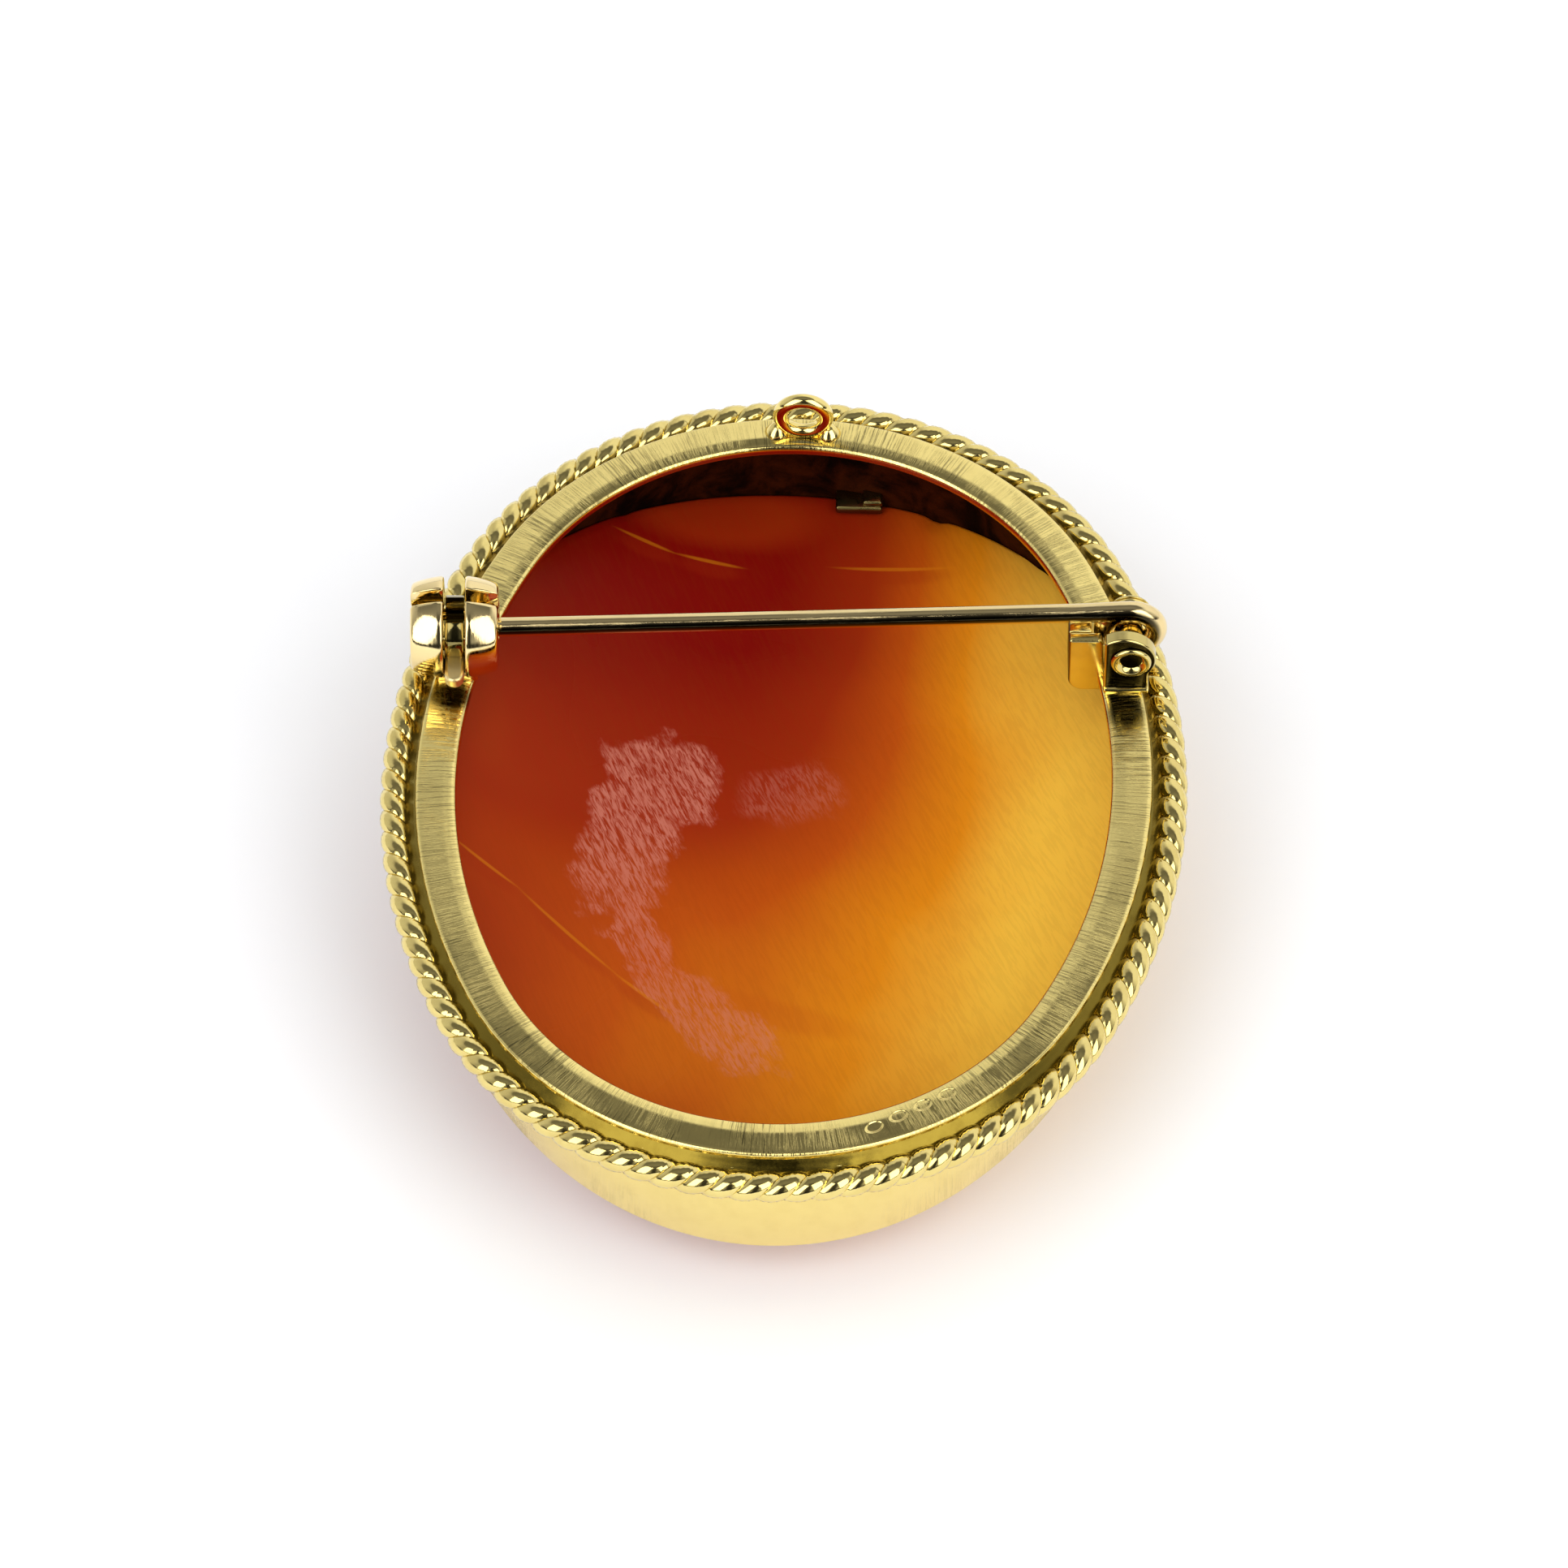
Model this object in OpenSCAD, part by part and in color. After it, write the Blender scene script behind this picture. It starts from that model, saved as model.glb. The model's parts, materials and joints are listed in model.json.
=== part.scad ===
// Cameo brooch, lying on its carved front with the pin side up.
// X runs along the pin, from the catch at -X to the hinge at +X.
// Y runs up the brooch, to the bail. Z points away from the carved front.
// The origin is the middle of the oval, on the surface that the front rests on.

/* [Back band] */
// Width of the oval across the back band's outer edge
band_w = 36.8; // [30:0.2:46]
// Length of the oval across the back band's outer edge
band_l = 47; // [40:0.2:58]
// Radius of the oval's two end arcs, as a share of half the width
end_share = 0.913; // [0.8:0.005:0.94]
// Turn of the oval against the pin, clockwise from the back
oval_turn = 2.5; // [0:0.5:8]
// Width of the flat band seen from the back
rim_w = 2.05; // [1.2:0.05:3]
// Thickness of the flat band
rim_t = 0.65; // [0.4:0.05:1]
// Radius of the band's rounded edges
rim_edge = 0.16; // [0.08:0.02:0.25]

/* [Bezel wall] */
// Depth of the wall at the two ends, from the back of the band
wall_depth = 7.45; // [6:0.05:9]
// Thickness of the wall
wall_t = 0.5; // [0.3:0.05:0.8]
// How far the wall stands outside the band's edge
wall_out = 0.1; // [0:0.05:0.3]
// Height of the lip that is turned over the shell
lip_h = 0.35; // [0.2:0.05:0.6]
// Reach of the lip over the shell
lip_w = 0.5; // [0.3:0.05:0.9]
// Height of the seat that the rope border is soldered to
seat_h = 0.9; // [0.6:0.1:1.4]
// Reach of the rope seat outside the band's edge
seat_out = 0.4; // [0.25:0.05:0.6]
// Depth of the groove between the band and the rope
groove_d = 0.75; // [0.4:0.05:1]

/* [Rope border] */
// Diameter of the twisted rope over its strands
rope_d = 1.32; // [0.9:0.02:1.8]
// Thickness of the rope at the waist between its strands, as a share of the diameter
rope_waist = 0.5; // [0.4:0.02:0.8]
// Length of rope from one strand to the next
rope_pitch = 1.33; // [1.1:0.01:2]
// Depth of the rope's centre line under the back of the band
rope_drop = 1.3; // [1:0.05:1.8]
// Gap between the rope and its seat
rope_gap = 0.06; // [0.04:0.01:0.15]

/* [Shell cameo] */
// Thickness of the shell at its middle
shell_t = 2.2; // [1.6:0.1:3.5]
// How much the shell rises from its middle to its two sides
side_rise = 6.75; // [4:0.05:6.9]
// How much the front rises from its middle to its two ends
front_rise = 2.5; // [1.5:0.1:3.5]
// How much the back rises from its middle to its two ends
back_rise = 1.7; // [1:0.1:2.5]
// Shift of the back's hollow towards the hinge
hollow_shift = 1; // [0:0.1:2]
// Gap between the shell and the metal round it
shell_gap = 0.08; // [0.05:0.01:0.2]
// Height of the carved flower at the middle of the front
relief_h = 1.5; // [1:0.1:2.5]
// Number of outer petals
petal_count = 6; // [5:1:8]
// Radius of the circle that the petals stand on
petal_ring = 6.5; // [5.5:0.1:8]
// Radius of each petal's dome
petal_r = 5; // [4:0.1:7]
// Radius of the flower's middle dome
heart_r = 3.5; // [2.5:0.1:5]
// How far the middle dome lies under the petals
heart_drop = 0.35; // [0.1:0.05:0.8]
// Length of a leaf
leaf_l = 9; // [6:0.2:12]
// Width of a leaf
leaf_w = 4.4; // [3:0.2:6]
// Height of a leaf over the ground of the carving
leaf_h = 0.7; // [0.4:0.05:1]
// Distance of a leaf's middle from the middle of the flower
leaf_out = 13; // [11:0.2:15]
// Angle between a pair of leaves
leaf_spread = 50; // [36:2:70]

/* [Keeper lug] */
// Width of the keeper lug along the wall
lug_w = 2.4; // [1.5:0.1:4]
// Reach of the keeper lug from the wall
lug_reach = 1.1; // [0.6:0.1:1.6]
// Height of the keeper lug
lug_h = 0.8; // [0.5:0.1:1.4]
// Distance of the lug from the oval's long axis
lug_x = 2.9; // [0:0.1:5]

/* [Bail] */
// Outer diameter of the bail ring
bail_d = 3.1; // [2.4:0.1:5]
// Thickness of the bail's wire
bail_wire = 0.75; // [0.5:0.05:1.2]
// How deep the ring sits in its solder
bail_sink = 0.25; // [0.15:0.05:0.35]
// Radius of the two solder beads
bead_r = 0.5; // [0.35:0.05:0.7]

/* [Pin] */
// Height of the pin line above the middle of the oval
pin_y = 7.7; // [4:0.1:10]
// Diameter of the pin stem
stem_d = 0.9; // [0.7:0.05:1.2]
// Diameter of the stem where it lies in the catch
tip_d = 0.66; // [0.4:0.02:0.68]
// Length over which the stem narrows before the catch
neck_l = 1.4; // [0.6:0.1:4]
// Length of the sharp point
point_l = 2.2; // [1:0.1:3]
// How far the point stays inside the catch's end
tip_short = 0.4; // [0.2:0.1:1]
// Thickness of the wire of the pin's eye
eye_wire = 1.1; // [0.8:0.05:1.2]
// Outer diameter of the pin's eye
eye_d = 3.7; // [3.2:0.02:3.8]

/* [Hinge] */
// Height of the hinge and catch centres over the band
pivot_h = 2.3; // [2.1:0.05:2.8]
// Distance of the pivot inside the band's edge
pivot_in = 0.2; // [-0.3:0.05:0.8]
// Radius of the front ear's round head
ear_r = 1.6; // [1.4:0.05:1.75]
// Thickness of the front ear
ear_t = 0.75; // [0.5:0.05:1]
// Width of the ears' foot along the pin
ear_w = 2.05; // [1.8:0.05:2.6]
// How far the front ear stands inwards from the pivot
ear_lean = 0.35; // [0.1:0.05:0.5]
// Radius of the rear ear's round top
rear_r = 1; // [0.95:0.05:1.4]
// Thickness of the rear ear
rear_t = 0.5; // [0.4:0.05:0.8]
// Gap between the front ear and the pin's eye
ear_gap = 0.85; // [0.1:0.05:1]
// Gap between the rear ear and the pin's eye
rear_gap = 0.1; // [0.08:0.01:0.2]
// Thickness of the plate under the ears
plate_t = 0.3; // [0.2:0.02:0.34]
// Diameter of the rivet's shank
rivet_d = 1.26; // [1:0.02:1.3]
// Diameter of the rivet's heads
rivet_head_d = 2.05; // [1.6:0.05:2.3]
// Thickness of the rivet's heads
rivet_head_t = 0.2; // [0.1:0.02:0.3]
// Diameter of the hole down the rivet
rivet_hole_d = 0.86; // [0.5:0.02:0.9]
// Gap between the rivet and the holes of the ears
rivet_gap = 0.03; // [0.02:0.01:0.05]
// Distance of the stop block's inner face from the pivot
stop_in = 3.1; // [2.8:0.05:3.6]
// Length of the stop block under the pin, along the pin
stop_l = 1.6; // [1.3:0.05:1.85]
// Width of the stop block across the pin
stop_w = 2.4; // [1.6:0.1:3]
// Height of the stop block over the band
stop_h = 2.75; // [2.2:0.05:2.9]
// How far the stop block reaches below the back of the band
stop_drop = 1.2; // [0.8:0.1:1.6]
// Gap between the stop block and the pin's eye
stop_gap = 0.12; // [0.08:0.01:0.3]

/* [Catch] */
// Diameter of the catch drum at its middle
drum_d = 5; // [4.6:0.1:6]
// Diameter of the catch drum at its ends
drum_end_d = 4.1; // [3.6:0.1:4.4]
// Length of the drum along the pin
drum_l = 4.4; // [3.6:0.1:5.5]
// Distance of the drum's middle inside the band's edge
catch_in = 0.8; // [0.5:0.05:1.5]
// Width of the slot that the lever turns in
slot_w = 1.1; // [0.9:0.05:1.4]
// Diameter of the hole that the turning sleeve runs in
drum_bore_d = 2.4; // [2.2:0.05:2.8]
// Width of the mouth that lets the pin in and out
mouth_w = 0.8; // [0.76:0.02:1.1]
// Height of the catch's foot over the band
foot_h = 0.48; // [0.3:0.02:0.5]
// Length of the catch's foot across the pin
foot_l = 3; // [2:0.1:4]

/* [Catch lever] */
// Gap between the turning sleeve and the drum
sleeve_gap = 0.07; // [0.05:0.01:0.1]
// Diameter of the sleeve's hole
sleeve_hole_d = 1.36; // [1.2:0.02:1.5]
// Diameter of the lever's ring
ring_d = 3.3; // [3:0.05:3.6]
// Width of the ring's gap at the top
ring_mouth = 1.66; // [1.3:0.02:1.9]
// Reach of the thumb tab from the drum's centre line
tab_reach = 3.18; // [2.8:0.02:3.6]
// Thickness of the thumb tab
tab_t = 0.7; // [0.4:0.05:0.8]
// How far the tab's upper face lies under the drum's centre line
tab_drop = 0.25; // [0:0.05:0.4]

/* [Hidden] */
GOLD = "#d8b75c";
SHELL = "#b4500f";
eps = 0.05;
big_fn = 240;
small_fn = 64;

// The oval is four arcs: two ends of end_r and two sides of side_r, with all edges parallel to it.
half_w = band_w / 2;
half_l = band_l / 2;
end_r = half_w * end_share;
end_c = half_l - end_r;
side_r = (half_w * half_w + end_c * end_c - end_r * end_r) / (2 * (half_w - end_r));
side_c = side_r - half_w;
side_a = atan2(end_c, side_c);

// Where the oval's arcs meet, a side arc stops this far short of the joint and an end arc runs past it.
side_stop = half_l * 0.065;
end_run = half_l * 0.09;
side_cut = side_stop / side_r * 180 / PI;
end_lap = end_run / end_r * 180 / PI;

// The shell's curves, from its rises.
shell_cross_r = arc_radius(half_w, side_rise);
front_long_r = arc_radius(half_l, front_rise);
back_long_r = arc_radius(half_l, back_rise);

// Offsets from the band's edge, positive outwards.
wall_in = wall_out - wall_t;
shell_edge = wall_in - shell_gap;
rope_line = seat_out + rope_gap + rope_d / 2;

// Heights: the petals rest on z = 0, and the band's back is at band_z.
ground_z = relief_h;
wall_low = ground_z - lip_h - shell_gap;
band_z = wall_low + wall_depth + front_rise;
hollow_z = ground_z + shell_t;

// The hinge and the catch stand where the pin line crosses the band.
pivot_x = band_edge_x(1) - pivot_in;
catch_x = band_edge_x(-1) + catch_in;
pivot_z = band_z + pivot_h;
eye_line = (eye_d - eye_wire) / 2;
stem_run = pivot_x - catch_x;
stem_dip = asin(eye_line / stem_run);
stem_l = sqrt(stem_run * stem_run - eye_line * eye_line);
ear_front = eye_wire / 2 + ear_gap + ear_t;
ear_back = eye_wire / 2 + rear_gap + rear_t;
drum_bulge = (drum_l * drum_l / 4 + (drum_d - drum_end_d) * (drum_d - drum_end_d) / 4)
    / (drum_d - drum_end_d);

// Where the band's outer edge crosses the pin line, on the hinge side (1) or the catch side (-1).
function local_y(side) = pin_y + side * half_w * sin(oval_turn);
function band_edge_x(side) = side * (sqrt(side_r * side_r - local_y(side) * local_y(side)) - side_c)
    * cos(oval_turn) + local_y(side) * sin(oval_turn);

// The radius of an arc that rises by the given height over the given half length.
function arc_radius(half, rise) = (half * half + rise * rise) / (2 * rise);

// The height of a bowl-shaped surface over its lowest point.
function bowl_rise(x, y, long_r) = shell_cross_r - sqrt(shell_cross_r * shell_cross_r - x * x)
    + long_r - sqrt(long_r * long_r - y * y);

// Everything that follows the oval is turned against the pin.
module turned() {
    rotate(-oval_turn) children();
}

// A closed ring whose section, drawn from the band's edge, is carried round the oval's four arcs.
// The side arcs stop short and the end arcs run on past them, so that the four pieces overlap.
module oval_ring() {
    for (half = [0, 180]) rotate(half) {
        translate([-side_c, 0, 0]) rotate(side_cut - side_a)
            rotate_extrude(angle = 2 * (side_a - side_cut), $fn = big_fn)
                translate([side_r, 0]) children();
        translate([0, end_c, 0]) rotate(side_a - end_lap)
            rotate_extrude(angle = 180 - 2 * (side_a - end_lap), $fn = big_fn)
                translate([end_r, 0]) children();
    }
}

// A solid oval block, whose edge lies at the given offset from the band's edge.
module oval_block(edge, high) {
    strip = end_c + (end_r + edge) * sin(side_a - end_lap / 2);
    intersection() {
        translate([-side_c, 0, 0]) cylinder(r = side_r + edge, h = high, $fn = big_fn);
        translate([side_c, 0, 0]) cylinder(r = side_r + edge, h = high, $fn = big_fn);
        translate([-band_w, -strip, 0]) cube([2 * band_w, 2 * strip, high]);
    }
    for (side = [-1, 1]) translate([0, side * end_c, 0]) cylinder(r = end_r + edge, h = high, $fn = big_fn);
}

// A bowl-shaped solid with its lowest point at the given height.
module bowl(low, long_r, shift = 0) {
    translate([shift, 0, low + long_r]) rotate([0, 90, 0])
        rotate_extrude($fn = big_fn) translate([long_r - shell_cross_r, 0])
            circle(r = shell_cross_r, $fn = big_fn);
}

// Section of the flat band, the rope seat and the wall below them.
module band_section() {
    translate([0, band_z]) polygon([
        [-rim_w, -rim_t], [-rim_w, -rim_edge * 1.6], [-rim_w + rim_edge * 0.4, -rim_edge * 0.5],
        [-rim_w + rim_edge * 1.2, 0], [-rim_w * 0.35, 0], [-rim_edge, -rim_edge * 0.6],
        [0, -rim_edge * 1.6], [0, -groove_d], [seat_out, -groove_d], [seat_out, -groove_d - seat_h],
        [wall_out, -groove_d - seat_h - seat_out + wall_out], [wall_out, -band_z],
        [wall_in, -band_z], [wall_in, -rim_t]
    ]);
}

// The lip at the foot of the wall, turned in over the shell's edge.
module lip() {
    difference() {
        oval_ring() translate([wall_in - lip_w, 0]) square([lip_w + wall_t / 2, band_z - rim_t - eps]);
        bowl(wall_low + lip_h, front_long_r);
    }
}

module bezel() {
    intersection() {
        union() {
            oval_ring() band_section();
            lip();
        }
        bowl(wall_low, front_long_r);
    }
}

// A small block on the inside of the wall that keeps the shell's edge down.
module keeper_lug() {
    lug_y = half_l + wall_in - lug_x * lug_x / (2 * end_r);
    lug_z = hollow_z + bowl_rise(lug_x - hollow_shift, lug_y, back_long_r) + shell_gap;
    translate([lug_x - lug_w / 2, lug_y - lug_reach, lug_z]) cube([lug_w, lug_reach + wall_t / 2, lug_h]);
}

// A standing wire ring for a chain, soldered to the band at the top of the oval.
module bail() {
    bail_z = band_z + bail_d / 2 - bail_sink;
    translate([0, half_l - rim_w / 2, bail_z]) {
        rotate([90, 0, 0]) rotate_extrude($fn = small_fn)
            translate([(bail_d - bail_wire) / 2, 0]) circle(d = bail_wire, $fn = small_fn);
        for (side = [-1, 1])
            translate([side * (bail_d / 2 - bead_r * 0.5), 0, bail_sink - bail_d / 2])
                sphere(r = bead_r, $fn = small_fn);
    }
}

// A tall front ear and a low rear ear on a plate, with the block that stops the pin.
module hinge_bracket() {
    foot = -ear_lean - ear_w / 2;
    translate([pivot_x, pin_y, band_z]) {
        difference() {
            union() {
                ear(ear_r, -ear_lean, ear_t, ear_t - ear_front, foot);
                ear(rear_r, 0, rear_t, ear_back, foot);
                translate([foot, -ear_front, -eps * 2])
                    cube([ear_w, ear_front + ear_back, plate_t + eps * 2]);
                stop_block();
            }
            rotate([90, 0, 0]) translate([0, pivot_h, 0])
                cylinder(d = rivet_d + 2 * rivet_gap, h = 3 * ear_front, center = true, $fn = small_fn);
        }
    }
}

// One ear, whose back face stands at the given distance behind the pin.
module ear(radius, lean, thick, back, foot) {
    translate([0, back, 0]) rotate([90, 0, 0]) linear_extrude(thick) union() {
        translate([lean, pivot_h]) circle(r = radius, $fn = small_fn);
        translate([foot, -eps * 2]) square([ear_w, pivot_h + eps * 2]);
    }
}

// The stop's far lower corner is rounded, and its near face is hollowed to clear the pin's eye.
module stop_block() {
    round_r = stop_l / 2;
    translate([-stop_in, stop_w / 2, 0]) rotate([90, 0, 0]) linear_extrude(stop_w) difference() {
        union() {
            translate([0, round_r - stop_drop]) square([stop_l, stop_h + stop_drop - round_r]);
            translate([round_r, -stop_drop]) square([stop_l - round_r, round_r * 2]);
            translate([round_r, round_r - stop_drop]) circle(r = round_r, $fn = small_fn);
        }
        translate([stop_in, pivot_h]) circle(r = eye_d / 2 + stop_gap, $fn = small_fn);
    }
}

// A domed drum in two cheeks on a foot: its mouth opens away from the band.
module catch_body() {
    translate([catch_x, pin_y, pivot_z]) {
        difference() {
            rotate([0, 90, 0]) rotate_extrude($fn = small_fn) intersection() {
                translate([drum_d / 2 - drum_bulge, 0]) circle(r = drum_bulge, $fn = big_fn);
                translate([0, -drum_l / 2]) square([drum_d, drum_l]);
            }
            rotate([0, 90, 0]) cylinder(d = drum_bore_d, h = drum_l * 2, center = true, $fn = small_fn);
            translate([-drum_l, -mouth_w / 2, 0]) cube([drum_l * 2, mouth_w, drum_d]);
            translate([-slot_w / 2, -drum_d, foot_h - pivot_h]) cube([slot_w, drum_d * 2, drum_d * 2]);
        }
        translate([-catch_in - eps * 2, -foot_l / 2, -pivot_h - eps * 2])
            cube([rim_w * 0.95, foot_l, foot_h + eps * 2]);
    }
}

module setting() {
    color(GOLD) union() {
        turned() {
            bezel();
            keeper_lug();
            bail();
        }
        hinge_bracket();
        catch_body();
    }
}

// Two wires twisted together, as one skin: a figure-eight section that turns as it goes round.
rope_share = [1, 0.8, rope_waist, 0.8];
rope_sides = 8;
rope_steps = 4;
side_len = 2 * side_a * PI / 180 * (side_r + rope_line);
end_len = (180 - 2 * side_a) * PI / 180 * (end_r + rope_line);
rope_len = 2 * (side_len + end_len);
rope_bumps = 2 * round(rope_len / rope_pitch / 2);
rope_rings = rope_bumps * rope_steps;

// The direction, from the arc's centre, of a point at distance s round the oval from its +X side.
function rope_angle(s) =
    s < side_len / 2 ? s / (side_r + rope_line) * 180 / PI
    : s < side_len / 2 + end_len ? side_a + (s - side_len / 2) / (end_r + rope_line) * 180 / PI
    : s < side_len * 1.5 + end_len ? 180 - side_a
        + (s - side_len / 2 - end_len) / (side_r + rope_line) * 180 / PI
    : s < side_len * 1.5 + 2 * end_len ? 180 + side_a
        + (s - side_len * 1.5 - end_len) / (end_r + rope_line) * 180 / PI
    : 360 - side_a + (s - side_len * 1.5 - 2 * end_len) / (side_r + rope_line) * 180 / PI;

// A point at direction a and offset n from the band's edge.
function oval_point(a, n) = abs(sin(a)) > sin(side_a)
    ? [(end_r + n) * cos(a), sign(sin(a)) * end_c + (end_r + n) * sin(a)]
    : [-sign(cos(a)) * side_c + (side_r + n) * cos(a), (side_r + n) * sin(a)];

module rope_border() {
    ring_points = [for (i = [0 : rope_rings - 1]) let (a = rope_angle(i * rope_len / rope_rings))
        for (k = [0 : rope_sides - 1]) let (
            turn = i * 180 / rope_steps + k * 360 / rope_sides,
            r = rope_d / 2 * rope_share[k % 4],
            p = oval_point(a, rope_line + r * cos(turn)))
            [p[0], p[1], band_z - rope_drop + r * sin(turn)]];
    skin = [for (i = [0 : rope_rings - 1]) for (k = [0 : rope_sides - 1]) let (
        i2 = (i + 1) % rope_rings, k2 = (k + 1) % rope_sides,
        a = i * rope_sides + k, b = i * rope_sides + k2,
        c = i2 * rope_sides + k2, d = i2 * rope_sides + k)
        each [[a, b, c], [a, c, d]]];
    color(GOLD) turned() polyhedron(points = ring_points, faces = skin);
}

// The carved flower: domed petals whose tops are level, so that the brooch lies flat on them.
module flower() {
    for (i = [0 : petal_count - 1]) rotate(i * 360 / petal_count)
        translate([petal_ring, 0, petal_r]) sphere(r = petal_r, $fn = big_fn);
    translate([0, 0, heart_drop + heart_r]) sphere(r = heart_r, $fn = big_fn);
}

// A pointed leaf with a low crown.
module leaf() {
    arc_r = (leaf_l * leaf_l + leaf_w * leaf_w) / (4 * leaf_w);
    leaf_z = ground_z + bowl_rise(0, leaf_out, front_long_r) - leaf_h;
    crown_r = leaf_l;
    intersection() {
        translate([0, arc_r - leaf_w / 2, 0]) cylinder(r = arc_r, h = hollow_z, $fn = big_fn);
        translate([0, leaf_w / 2 - arc_r, 0]) cylinder(r = arc_r, h = hollow_z, $fn = big_fn);
        translate([0, 0, leaf_z + crown_r]) sphere(r = crown_r, $fn = big_fn);
    }
}

module shell_cameo() {
    color(SHELL) turned() difference() {
        union() {
            intersection() {
                oval_block(shell_edge, band_z - rim_t - shell_gap);
                bowl(ground_z, front_long_r);
            }
            intersection() {
                union() {
                    flower();
                    for (end = [90, 270], side = [-1, 1]) rotate(end + side * leaf_spread / 2)
                        translate([leaf_out, 0, 0]) leaf();
                }
                translate([-half_w, -half_l, 0]) cube([band_w, band_l, hollow_z - shell_t / 2]);
            }
        }
        bowl(hollow_z, back_long_r, hollow_shift);
    }
}

// A hollow rivet through both ears, flared at its ends.
module hinge_rivet() {
    front = ear_front + rivet_gap;
    back = ear_back + rivet_gap;
    color(GOLD) translate([pivot_x, pin_y, pivot_z]) rotate([90, 0, 0])
        rotate_extrude($fn = small_fn) polygon([
            [rivet_hole_d / 2, -back - rivet_head_t], [rivet_head_d / 2, -back - rivet_head_t],
            [rivet_head_d / 2, -back], [rivet_d / 2, -back], [rivet_d / 2, front],
            [rivet_head_d / 2, front], [rivet_head_d / 2, front + rivet_head_t],
            [rivet_hole_d / 2, front + rivet_head_t]
        ]);
}

// The pin: a wire eye round the rivet, and a stem that dips to the catch and ends in a point.
module pin() {
    stem_end = stem_l + drum_l / 2 - tip_short;
    color(GOLD) translate([pivot_x, pin_y, pivot_z]) {
        rotate([90, 0, 0]) rotate_extrude($fn = small_fn)
            translate([eye_line, 0]) circle(d = eye_wire, $fn = small_fn);
        rotate([0, -90 - stem_dip, 0]) translate([eye_line, 0, 0]) rotate_extrude($fn = small_fn)
            polygon([[0, 0], [stem_d / 2, 0], [stem_d / 2, stem_l - drum_l / 2 - neck_l],
                [tip_d / 2, stem_l - drum_l / 2], [tip_d / 2, stem_end - point_l],
                [tip_d * 0.1, stem_end], [0, stem_end]]);
    }
}

// The turning sleeve inside the drum, with its ring and thumb tab in the slot.
module catch_lever() {
    sleeve_d = drum_bore_d - 2 * sleeve_gap;
    tab_w = slot_w - 2 * sleeve_gap;
    color(GOLD) translate([catch_x, pin_y, pivot_z]) difference() {
        union() {
            rotate([0, 90, 0]) cylinder(d = sleeve_d, h = drum_l, center = true, $fn = small_fn);
            rotate([0, 90, 0]) cylinder(d = ring_d, h = tab_w, center = true, $fn = small_fn);
            translate([0, tab_w / 2 - tab_reach, -tab_drop - tab_t]) linear_extrude(tab_t) union() {
                circle(d = tab_w, $fn = small_fn);
                translate([-tab_w / 2, 0]) square([tab_w, tab_reach - tab_w / 2 - sleeve_hole_d / 2]);
            }
        }
        rotate([0, 90, 0]) cylinder(d = sleeve_hole_d, h = drum_l * 2, center = true, $fn = small_fn);
        translate([-drum_l, -mouth_w / 2, 0]) cube([drum_l * 2, mouth_w, drum_d]);
        translate([-slot_w / 2, -ring_mouth / 2, 0]) cube([slot_w, ring_mouth, ring_d]);
    }
}

setting();
rope_border();
shell_cameo();
hinge_rivet();
pin();
catch_lever();
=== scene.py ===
"""A cameo brooch lying on its carved front, dressed over its packed solids."""

import json
import math
import random

import bmesh
import bpy
from mathutils import Matrix, Vector, noise


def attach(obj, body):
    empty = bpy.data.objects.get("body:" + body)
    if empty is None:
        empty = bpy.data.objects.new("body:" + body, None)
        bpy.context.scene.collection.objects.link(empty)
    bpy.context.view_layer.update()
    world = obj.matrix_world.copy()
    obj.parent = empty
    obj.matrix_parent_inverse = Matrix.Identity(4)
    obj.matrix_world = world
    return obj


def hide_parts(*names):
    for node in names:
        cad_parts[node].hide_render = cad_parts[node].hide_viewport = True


bl_info = {
    "name": "Cameo brooch",
    "version": (1, 0, 0),
    "blender": (4, 5, 0),
    "location": "3D View > Sidebar > Brooch",
    "description": "Builds the dressed pieces of a cameo brooch over its solids",
    "category": "Object",
}

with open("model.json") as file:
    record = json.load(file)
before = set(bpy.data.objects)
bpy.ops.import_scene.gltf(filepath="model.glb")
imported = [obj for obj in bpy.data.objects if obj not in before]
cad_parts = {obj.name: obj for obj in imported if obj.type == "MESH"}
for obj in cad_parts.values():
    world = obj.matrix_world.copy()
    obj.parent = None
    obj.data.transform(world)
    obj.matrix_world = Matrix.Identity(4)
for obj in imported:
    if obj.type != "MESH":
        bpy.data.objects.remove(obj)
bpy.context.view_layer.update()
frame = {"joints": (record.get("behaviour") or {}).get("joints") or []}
JOINTS = {joint["name"]: joint for joint in frame["joints"]}
MM = 0.001
IN_MM = (1 / MM,) * 3
PIVOT = Vector(JOINTS["pin_hinge"]["pos_m"]) / MM
CATCH = Vector(JOINTS["lever_turn"]["pos_m"]) / MM
MAIN_BODY = "brooch"


# ---------------------------------------------------------------- sizes


def millimetres(name, default, description):
    return bpy.props.FloatProperty(
        name=name, description=description, default=default * MM, min=0.01 * MM,
        subtype="DISTANCE", unit="LENGTH",
    )


def tint(name, default, description):
    return bpy.props.FloatVectorProperty(
        name=name, description=description, default=default, size=3, min=0.0, max=1.0, subtype="COLOR"
    )


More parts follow.
